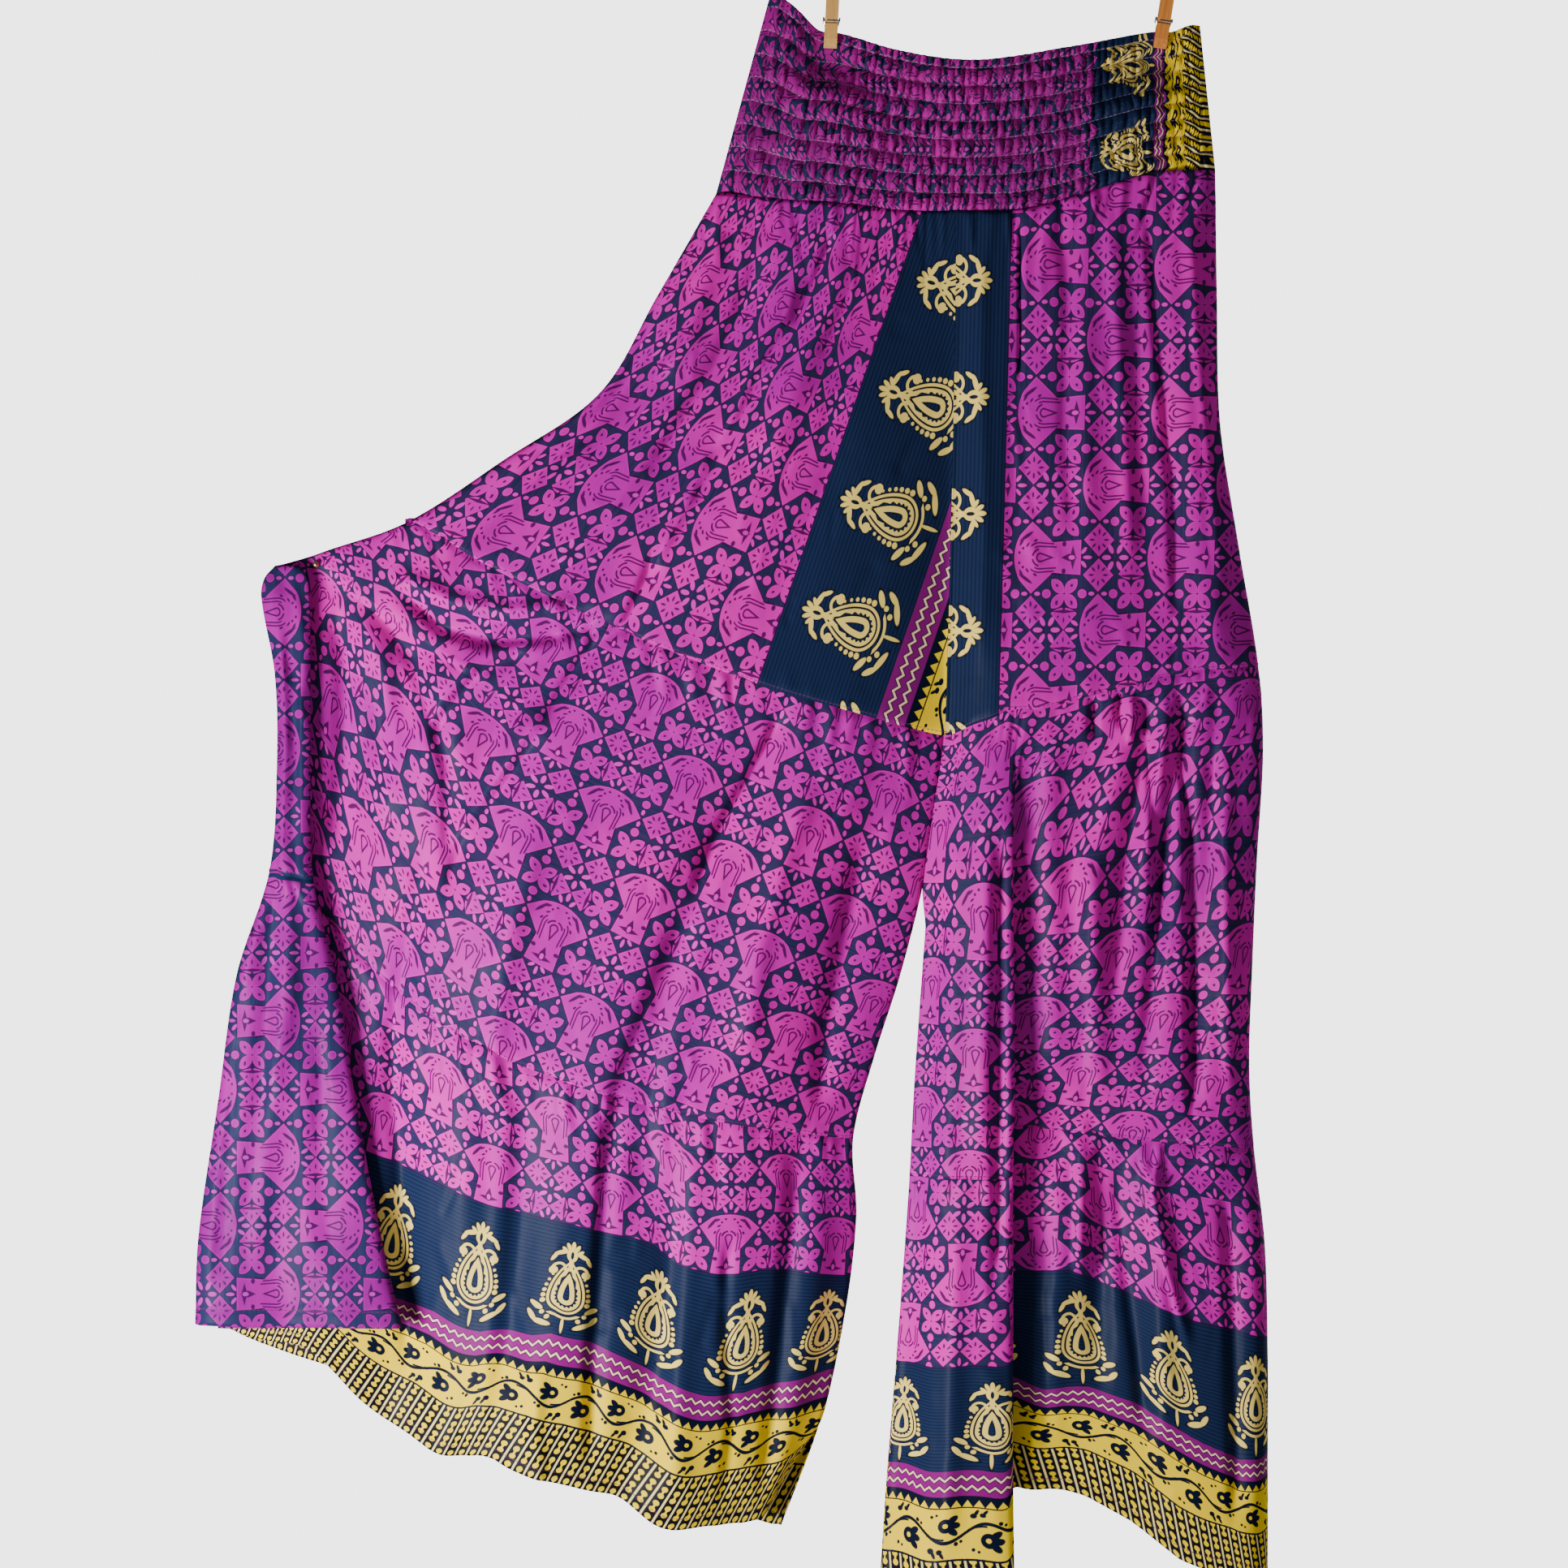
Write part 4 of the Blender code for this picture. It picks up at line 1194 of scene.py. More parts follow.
    def flap_map(self, panel: Panel) -> None:
        """Lay the repeat on its side on the side panel, with a navy strip at the lower seam.

        Args:
            panel: The panel.
        """
        x, drop = panel.rows[..., 0], -panel.rows[..., 2]
        u = (drop - self.flap_start[0]) * self.flap_stretch[0]
        v = 7.0 - (x - self.flap_start[1]) * self.flap_stretch[1]
        panel.field_map = np.stack((u, v), axis=2)
        strip = (np.abs(panel.downs - TIER_2_END) < self.strip) & (x > self.strip_end)
        t = np.where(strip, NAVY_TOP - 6.0, FAR_FROM_BORDER)
        panel.border_map = np.stack((drop, t), axis=2)

    def stitches(self, panel: Panel, line: float) -> None:
        """Give the panel the distance to its line of stitches, at a length below the waist.

        Args:
            panel: The panel.
            line: The length.
        """
        gap = panel.downs - line
        gap = np.where(np.abs(gap) < FAR_FROM_STITCH, gap, FAR_FROM_STITCH)
        panel.stitch_map = np.stack((panel.along(), gap), axis=2)

    def cut(self, tier: str, start: float, end: float) -> list[Panel]:
        """Lay out a tier's panels.

        Args:
            tier: The word that their names begin with.
            start: The length below the waist where they begin.
            end: The length where they end.

        Returns:
            The left and right front, the left side where there is one, and both backs.
        """
        made = []
        for name, sections, fine, pitch, outward in (
            ("left_front", self.left_front, 7, 1.15, -1.0),
            ("right_front", self.right_front, 4, 1.0, -1.0),
            ("left_side", self.left_side, 3, 1.0, -1.0),
            ("left_back", self.left_back, 6, 2.0, 1.0),
            ("right_back", self.right_back, 6, 2.0, 1.0),
        ):
            side = name == "left_side"
            if not side or end > PIN_DOWN:
                top = max(start, PIN_DOWN) if side else start
                place = (tier + "_" + name, sections, top, end)
                made.append(self.panel(*place, fine, pitch * self.wide, outward))
        return made

    def dress(self, panel: Panel) -> None:
        """Give a panel the folds and creases of its place.

        Args:
            panel: The panel, whose name tells its place.
        """
        folds, marks, first = DRESSES[panel.name.split("_", 1)[1]]
        panel.fold(folds)
        panel.crease(marks, first)

    def hips(self) -> list[Panel]:
        """Return the four hip panels.

        Returns:
            The left and right front, then the left and right back.
        """
        panels = self.cut("hip", 0.0, TIER_1_END)
        left, right, back, last = panels
        self.hip_left_map(left)
        self.hip_right_map(right)
        self.plain_map(back, 1.3, (5.0, 0.0), 90.0)
        self.plain_map(last, 1.2, (9.0, 12.0), 90.0)
        for panel in (left, right):
            self.dress(panel)
        slight, upper, lower = self.hip_seeds
        for n, panel in enumerate(panels):
            panel.crumple(slight + n, self.hip_creases, self.hip_lean if panel is left else 0.0)
            if panel.outward > 0.0:
                self.dress(panel)
            panel.gather(0.0, False, upper + n, WAIST_PUCKERS)
            panel.gather(TIER_1_END, True, lower + n, HIP_FOOT_PUCKERS)
            panel.groove((0.0, TIER_1_END), *SEAM_GROOVE)
            self.fit_waist(panel)
            self.stitches(panel, TIER_1_END - self.seam_stitch)
            panel.rests_on = ("waistband_" + ("front" if panel.outward < 0.0 else "back"),)
        return panels

    def middles(self) -> list[Panel]:
        """Return the five panels of the middle tier.

        Returns:
            The left and right front, the left side, then both backs.
        """
        start, end = TIER_1_END, TIER_2_END
        panels = self.cut("mid", start, end)
        left, right, side, back, last = panels
        self.plain_map(left, 1.0, (12.0, -340.0), 9.0)
        self.pinned_twist(left)
        self.plain_map(right, 1.0, (30.0, -352.0))
        self.flap_map(side)
        self.plain_map(back, 1.05, (2.0, 3.0))
        self.plain_map(last, 1.05, (20.0, 9.0))
        slight, upper, lower = self.middle_seeds
        for n, panel in enumerate(panels):
            self.dress(panel)
            count = self.middle_creases[panel is side]
            panel.crumple(slight + n, count, self.middle_lean if panel is left else 0.0)
            if panel is not side:
                panel.gather(start, False, upper + n, MIDDLE_TOP_PUCKERS)
            panel.gather(end, True, lower + n, MIDDLE_FOOT_PUCKERS)
            panel.groove((start, end), *SEAM_GROOVE)
            self.stitches(panel, end - self.seam_stitch)
            panel.rests_on = (panel.name.replace("mid", "hip"),)
        side.rests_on = (left.name,)
        return panels

    def hems(self) -> list[Panel]:
        """Return the five panels of the lowest tier.

        Returns:
            The left and right front, the left side, then both backs.
        """
        start, end = TIER_2_END, TIER_3_END
        panels = self.cut("hem", start, end)
        left, right, side, back, last = panels
        self.ripple(left, LEFT_RIPPLE)
        self.ripple(right, RIGHT_RIPPLE)
        self.hem_map(left, LEFT_RUN, LEFT_LOW, LEFT_HIGH, 1.0)
        self.hem_map(right, RIGHT_RUN, RIGHT_LOW, RIGHT_HIGH, -1.0)
        self.hem_map(back, BACK_RUN, BACK_LOW, BACK_HIGH, 1.0)
        self.hem_map(last, BACK_RUN, BACK_LOW, BACK_HIGH, -1.0)
        self.flap_map(side)
        slight, upper = self.hem_seeds
        for n, panel in enumerate(panels):
            self.dress(panel)
            panel.crumple(slight + n, self.hem_creases[panel is side], 0.0)
            panel.gather(start, False, upper + n, HEM_TOP_PUCKERS)
            hem = end - (self.flap_stitch if panel is side else self.hem_stitch)
            panel.groove((start, hem), *HEM_GROOVE)
            self.stitches(panel, hem)
            panel.rests_on = (panel.name.replace("hem", "mid"),)
        return panels


@dataclass
class Waistband:
    """The shirred waistband: two layers drawn into rows of small puffs by elastic thread."""

    stitch_rows: int = 8
    heading: float = 0.055
    puff_pitch: float = 5.0
    puff_height: float = 4.4
    puff_sink: float = 1.2
    puff_widths: tuple[float, float] = (0.36, 0.58)
    puff_heights: tuple[float, float] = (0.45, 1.0)
    puff_drift: float = 0.28
    puff_lean: float = 0.4
    row_gap: float = 14.0
    columns: int = 9
    fall_steps: int = 104
    crowding: float = 2.2
    zones: tuple[tuple[float, float], ...] = (
        (56.7, NAVY_TOP),
        (96.5, ZIGZAG_TOP),
        (102.8, ZIGZAG_FOOT),
        (128.0, 0.0),
    )

    def section(self, fall: float, outward: float) -> Rows:
        """Return a section of the band, from left to right.

        Args:
            fall: The share of the band's height, from its top edge.
            outward: -1 for the front layer, 1 for the back one.

        Returns:
            The section's points.
        """

        def level(row: BandRow) -> tuple[float, float]:
            """Return where a row's line crosses the section."""
            return between((row.top_x, row.top_z), (row.seam_x, row.seam_z), fall)

        corners = []
        for row in BAND_ROWS[1:-1]:
            x, z = level(row)
            below = fall * (row.top_z - row.seam_z)
            loose = smooth(PINCH_LENGTH, PINCH_FADE, below) if row.top_depth < 2.0 else fall
            depth = row.top_depth + (row.seam_depth - row.top_depth) * loose
            corners.append((x, outward * depth, z))
        ends = []
        for row, side in ((BAND_ROWS[0], 1.0), (BAND_ROWS[-1], -1.0)):
            turn = edge_turn(*level(row), 5.0 + 6.0 * fall, -SIDE_GAP, side)
            ends.append([(px, -outward * py, pz) for px, py, pz in turn])
        corners = list(reversed(ends[0])) + corners + ends[1]
        counts = [1, 1, 1, 2, 1, 2, 8, 7, 7, 8, 2, 2, 1, 1, 1]
        return section(corners, counts, self.columns)

    def layer(self, name: str, outward: float, seed: int) -> Panel:
        """Return one layer of the band with its puffs, stitch rows and print.

        Args:
            name: The solid that it stands for.
            outward: -1 for the front layer, 1 for the back one.
            seed: The seed of the puffs' spacing.

        Returns:
            The finished panel.
        """
        falls = np.linspace(0.0, 1.0, self.fall_steps + 1)
        rows = np.stack([self.section(float(fall), outward) for fall in falls])
        panel = Panel(name, rows, falls[:, None] * np.ones((1, rows.shape[1])), outward)
        reach = panel.along()
        share = panel.across()
        bands = (panel.downs - self.heading) / (1.0 - self.heading) * self.stitch_rows
        number = np.floor(np.clip(bands, -1.0, self.stitch_rows - 0.001)).astype(int)
        within = bands - number
        chance = np.random.RandomState(seed)
        count = int(reach[:, -1].mean() / self.puff_pitch)
        puffs = np.zeros(reach.shape)
        for band in range(-1, self.stitch_rows):
            drifts = chance.uniform(-self.puff_drift, self.puff_drift, count)
            centres = (np.arange(count) + 0.5 + drifts) / count
            widths = chance.uniform(*self.puff_widths, count) / count
            heights = chance.uniform(*self.puff_heights, count)
            leans = chance.uniform(-self.puff_lean, self.puff_lean, count) / count
            here = number == band
            swell = np.zeros(reach.shape)
            for centre, width, height, lean in zip(centres, widths, heights, leans):
                off = (share - centre - lean * (within - 0.5)) / width
                swell = np.maximum(swell, height * np.sqrt(np.clip(1.0 - off**2, 0.0, 1.0)))
            puffs = np.where(here, swell, puffs)
        belly = np.sin(np.pi * np.clip(within, 0.0, 1.0)) ** 0.7
        belly = np.where(number < 0, 0.75, belly)
        clear = smooth(0.01, 0.05, share) * smooth(0.99, 0.95, share)
        for tip in PEG_TIPS:
            near = smooth(8.0, 14.0, np.abs(rows[..., 0] - tip))
            clear = clear * np.maximum(near, smooth(24.0, 30.0, rows[:1, :, 2] - rows[..., 2]))
        rise = (self.puff_height * puffs * belly - self.puff_sink) * clear
        panel.rows[..., 1] += outward * rise
        self.lay_print(panel, share)
        gap = (within - np.rint(within)) * self.row_gap
        gap = np.where(bands > self.stitch_rows - 0.2, FAR_FROM_STITCH, gap)
        panel.stitch_map = np.stack((reach, gap), axis=2)
        panel.held = "gathered"
        panel.rests_on = ("peg_left_front", "peg_right_front")
        return panel

    def lay_print(self, panel: Panel, share: Rows) -> None:
        """Lay the crowded print on the band: the repeat, then the border at its right end.

        Args:
            panel: The layer.
            share: Each point's share of its section's length.
        """
        length = panel.along()
        drift = length - share * length[:, -1:]
        x = panel.rows[..., 0]
        places, levels = zip(*self.zones)
        t = np.interp(x, places, levels)
        left = (places[0] - x) * self.crowding
        t = np.where(x < places[0], NAVY_TOP + left, t)
        t = t + drift * 1.2
        s = -panel.rows[..., 2]
        panel.border_map = np.stack((s - 62.0, np.maximum(t, 0.5)), axis=2)
        panel.field_map = np.stack((s + 8.0, -(t - NAVY_TOP)), axis=2)


class Ink(Enum):
    """The printed colours that a small shape of the repeat can have."""

    BODY = "body"
    LIGHT = "light"
    DARK = "dark"


class Oval(NamedTuple):
    """A printed oval: its middle, its half lengths and its turn in degrees."""

    x: float
    y: float
    long: float
    wide: float
    turn: float


REPEAT_WIDTH = 42.0
REPEAT_HEIGHT = 87.0
DIAMOND = (10.2, 43.5)
REPEAT_OVALS = {
    ("side", Ink.BODY): table(Oval, "0 11.6 2.9 2.7 90"),
    ("cell", Ink.LIGHT): table(Oval, """
0 -17.7 3 1.35 90
4 -14.6 2.6 1.2 -60
0 36.2 2.9 1.1 90
4 33.9 2.4 1.1 40
0 60 3 1.5 90
0 48.6 3 1.5 90
4.9 57.2 3 1.5 30
4.9 51.4 3 1.5 -30
"""),
    ("side", Ink.LIGHT): table(Oval, "0 17.6 1.9 1.2 90"),
    ("cell", Ink.DARK): table(Oval, """
12.2 -3.6 5 1 56
9.2 -6.4 2.6 0.8 30
5.5 -5.5 0.8 0.8 0
3 -7.9 0.9 0.7 0
7.4 -2.6 1.5 0.6 35
9.9 2.4 1.3 0.7 60
7.9 21 1.6 1.3 0
9.6 16.5 3.6 0.55 82
"""),
    ("side", Ink.DARK): table(Oval, "4.8 4.8 0.95 0.75 45"),
    ("disc", Ink.DARK): table(Oval, """
15.2 5 0.8 0.7 40
7.6 3.7 0.9 0.5 -30
5.7 0 1.5 0.5 0
13.4 0 2.6 0.9 0
"""),
}
PAISLEY_LENGTH = 66.0
PAISLEY_SPACING = 58.0
PAISLEY_OVALS = table(Oval, """
0 2.6 3.2 1.3 90
2.7 3.7 2.9 1.2 -65
4.9 5.9 2.4 1.1 -40
0 9 4.6 3.4 90
6.6 8.2 4.6 1.5 20
10.6 11.4 3.6 1.2 60
0 15.5 5 1.5 90
10.2 21 2.7 2.6 0
17 46.2 4.6 1.8 -35
13.2 51 1.5 1.5 0
9.8 54.8 1.6 1.6 0
12.8 58.4 6.2 1.8 -26
19 53.6 4.6 1.7 -56
0 60 5.6 1 90
""")


VINE_OVALS = table(Oval, """
11.4 -4 4.2 4.1 0
15 -7.3 3.6 1.9 -38
16.2 -4 3.2 2 0
15 -0.7 3.6 1.9 38
3.4 9.2 1.9 1.6 0
4.8 11 2.6 1 62
8.2 9.9 1.7 1.4 0
9.4 11.6 2.4 0.9 55
17.2 6.2 1.2 1.2 0
19.8 5 0.9 0.9 0
3.6 -9.4 1 1 0
6.4 -10.4 0.8 0.8 0
""")


def operator(operation: str) -> Callable[..., Value]:
    """Return a method of a value that makes one kind of Math node.

    Args:
        operation: The node's operation.

    Returns:
        The method.
    """

    def method(value: Value, *others: Value | float) -> Value:
        """Return the operation's result on the value and the others."""
        return value.math(operation, *others)

    return method


class Value:
    """A number that varies over the surface: an output socket with arithmetic."""

    __add__ = __radd__ = operator("ADD")
    __sub__ = operator("SUBTRACT")
    __mul__ = __rmul__ = operator("MULTIPLY")
    __truediv__ = operator("DIVIDE")
    __abs__ = operator("ABSOLUTE")
    # The smaller of two distances joins two shapes, and the larger keeps what they share.
    least = operator("MINIMUM")
    most = operator("MAXIMUM")
    # A wave of straight sides, from 0 to a half length and back.
    zigzag = operator("PINGPONG")

    def __init__(self, graph: Graph, socket: bpy.types.NodeSocket) -> None:
        """Keep the graph and the socket."""
        self.graph = graph
        self.socket = socket

    def __rsub__(self, other: float) -> Value:
        """Return a plain number less this value."""
        return self.math("MULTIPLY_ADD", -1.0, other)

    def __neg__(self) -> Value:
        """Return the value with its sign changed."""
        return self.math("MULTIPLY", -1.0)

    def math(self, operation: str, *others: Value | float) -> Value:
        """Return the result of a Math node on this value and the others."""
        inputs = dict(enumerate((self, *others)))
        return Value(self.graph, self.graph.node("Math", {"operation": operation}, inputs).outputs[0])

    def wrap(self, low: float, high: float) -> Value:
        """Return the value wrapped into a range, for a pattern that repeats."""
        return self.math("WRAP", high, low)

    def step(self, low: float, high: float) -> Value:
        """Return 0 at low rising in a straight line to 1 at high."""
        values = {"Value": self, "From Min": low, "From Max": high}
        return Value(self.graph, self.graph.node("MapRange", {}, values).outputs[0])

    def inside(self, soft: float = 0.18) -> Value:
        """Return 1 where a distance is below zero, with a thin soft edge."""
        return self.step(soft, -soft)


class Graph:
    """A material's node tree, and the few ways in which its nodes are made."""

    def __init__(self, tree: bpy.types.NodeTree) -> None:
        """Keep the tree."""
        self.tree = tree

    def node(self, kind: str, settings: dict[str, Any], values: dict[Any, Any]) -> bpy.types.Node:
        """Make one node.

        Args:
            kind: The node's type, without the word that all types begin with.
            settings: Its settings, which are set first.
            values: The values or links of its sockets, by name or place.

        Returns:
            The node.
        """
        made = self.tree.nodes.new("ShaderNode" + kind)
        for name, value in settings.items():
            setattr(made, name, value)
        for key, value in values.items():
            socket = made.inputs[key]
            if isinstance(value, Value):
                self.tree.links.new(value.socket, socket)
            elif isinstance(value, bpy.types.NodeSocket):
                self.tree.links.new(value, socket)
            else:
                socket.default_value = value
        return made

    def vector(self, operation: str, *values: Any) -> bpy.types.NodeSocket:
        """Return the vector result of a Vector Math node."""
        inputs = dict(enumerate(values))
        return self.node("VectorMath", {"operation": operation}, inputs).outputs["Vector"]

    def number(self, operation: str, *values: Any) -> Value:
        """Return the number result of a Vector Math node."""
        inputs = dict(enumerate(values))
        return Value(self, self.node("VectorMath", {"operation": operation}, inputs).outputs["Value"])

    def placed(self, spot: Any, x: float, y: float, sizes: tuple[float, float], turn: float) -> Any:
        """Return a spot in a shape's own frame, where the shape has size 1.

        Args:
            spot: The spot, whose third value is 1.
            x: The shape's middle.
            y: The shape's middle.
            sizes: Its half lengths.
            turn: Its turn in degrees.

        Returns:
            The spot from the shape's middle, along its own axes.
        """
        long, wide = sizes
        if turn == 0:
            offset = (-x / long, -y / wide, 0.0)
            return self.vector("MULTIPLY_ADD", spot, (1.0 / long, 1.0 / wide, 0.0), offset)
        cos, sin = math.cos(math.radians(turn)), math.sin(math.radians(turn))
        along = (cos / long, sin / long, -(x * cos + y * sin) / long)
        across = (-sin / wide, cos / wide, (x * sin - y * cos) / wide)
        return self.spot(*(self.number("DOT_PRODUCT", spot, axis) for axis in (along, across)), 0.0)

    def oval(self, spot: Any, x: float, y: float, long: float, wide: float, turn: float) -> Value:
        """Return the distance outside an oval, about in millimetres.

        Args:
            spot: The spot, whose third value is 1.
            x: Its middle.
            y: Its middle.
            long: Its half length.
            wide: Its half width.
            turn: Its turn in degrees.

        Returns:
            The distance.
        """
        if turn == 90:
            long, wide, turn = wide, long, 0
        local = self.placed(spot, x, y, (long, wide), turn)
        size = min(long, wide)
        return self.number("LENGTH", local).math("MULTIPLY_ADD", size, -size)

    def diamond(self, spot: Any, x: float, y: float, half_x: float, half_y: float) -> Value:
        """Return the distance outside a diamond, about in millimetres.

        Args:
            spot: The spot, whose third value is 1.
            x: Its middle.
            y: Its middle.
            half_x: Its half length across.
            half_y: Its half length up.

        Returns:
            The distance.
        """
        local = self.placed(spot, x, y, (half_x, half_y), 0)
        size = half_x * half_y / math.hypot(half_x, half_y)
        sides = self.number("DOT_PRODUCT", self.vector("ABSOLUTE", local), (1.0, 1.0, 0.0))
        return sides.math("MULTIPLY_ADD", size, -size)

    def spot(self, x: Value, y: Value, third: float = 1.0) -> bpy.types.NodeSocket:
        """Return a vector from two values, with a third that lets a product add an offset."""
        return self.node("CombineXYZ", {}, {"X": x, "Y": y, "Z": third}).outputs[0]

    def parts(self, spot: Any) -> tuple[Value, Value]:
        """Return a vector's first two values."""
        node = self.node("SeparateXYZ", {}, {0: spot})
        return Value(self, node.outputs[0]), Value(self, node.outputs[1])

    def place(self) -> bpy.types.NodeSocket:
        """Return the surface's place in its object, in metres."""
        return self.node("TexCoord", {}, {}).outputs["Object"]

    def camera_ray(self) -> Value:
        """Return 1 for what the camera sees straight on, 0 for light and reflections."""
        return Value(self, self.node("LightPath", {}, {}).outputs["Is Camera Ray"])

    def relief(self, height: Value) -> bpy.types.NodeSocket:
        """Return the normal of a fine relief whose height is in millimetres."""
        values = {"Height": height, "Distance": MM, "Strength": 1.0}
        return self.node("Bump", {}, values).outputs[0]

    def wire(self, shader: bpy.types.Node, values: dict[str, Any]) -> None:
        """Link values to a shader's sockets, by name.

        Args:
            shader: The shader.
            values: The values, by socket.
        """
        for name, value in values.items():
            self.tree.links.new(value.socket if isinstance(value, Value) else value, shader.inputs[name])

    def map(self, name: str) -> tuple[Value, Value]:
        """Return the two coordinates of one of the cloth's maps, in millimetres.

        Args:
            name: The map.

        Returns:
            Its first and second coordinate.
        """
        place = self.node("UVMap", {"uv_map": name}, {}).outputs[0]
        scaled = self.node("VectorMath", {"operation": "SCALE"}, {0: place, "Scale": 1000.0})
        return self.parts(scaled.outputs["Vector"])

    def mix(self, factor: Any, under: Any, over: Any) -> bpy.types.NodeSocket:
        """Return a colour with another laid over it."""
        settings = {"data_type": "RGBA"}
        return self.node("Mix", settings, {0: factor, 6: under, 7: over}).outputs[2]

    def noise(self, spot: Any, scale: float, detail: float, rough: float = 0.5) -> Value:
        """Return a soft noise from 0 to 1."""
        values = {"Vector": spot, "Scale": scale, "Detail": detail, "Roughness": rough}
        return Value(self, self.node("TexNoise", {}, values).outputs[0])


def new_material(name: str) -> tuple[bpy.types.Material, Graph, bpy.types.Node]:
    """Return a new material, its graph and its surface shader.

    Args:
        name: The material's name.

    Returns:
        The material, the graph and the shader.
    """
    made = bpy.data.materials.new(name)
    made.use_nodes = True
    return made, Graph(made.node_tree), made.node_tree.nodes["Principled BSDF"]


def joined(shapes: Iterable[Value]) -> Value:
    """Join shapes as they are made, so that few values wait at any time.

    Args:
        shapes: The distances outside each shape.

    Returns:
        The distance outside them all.
    """
    total = None
    for shape in shapes:
        total = shape if total is None else total.least(shape)
    return total


@dataclass(frozen=True)
class Place:
    """Where a point lies in the repeat, as seen from its column, its corners and its round shapes."""

    x: Value
    y: Value
    rise: Value
    cell: Any
    side: Any
    disc: Any


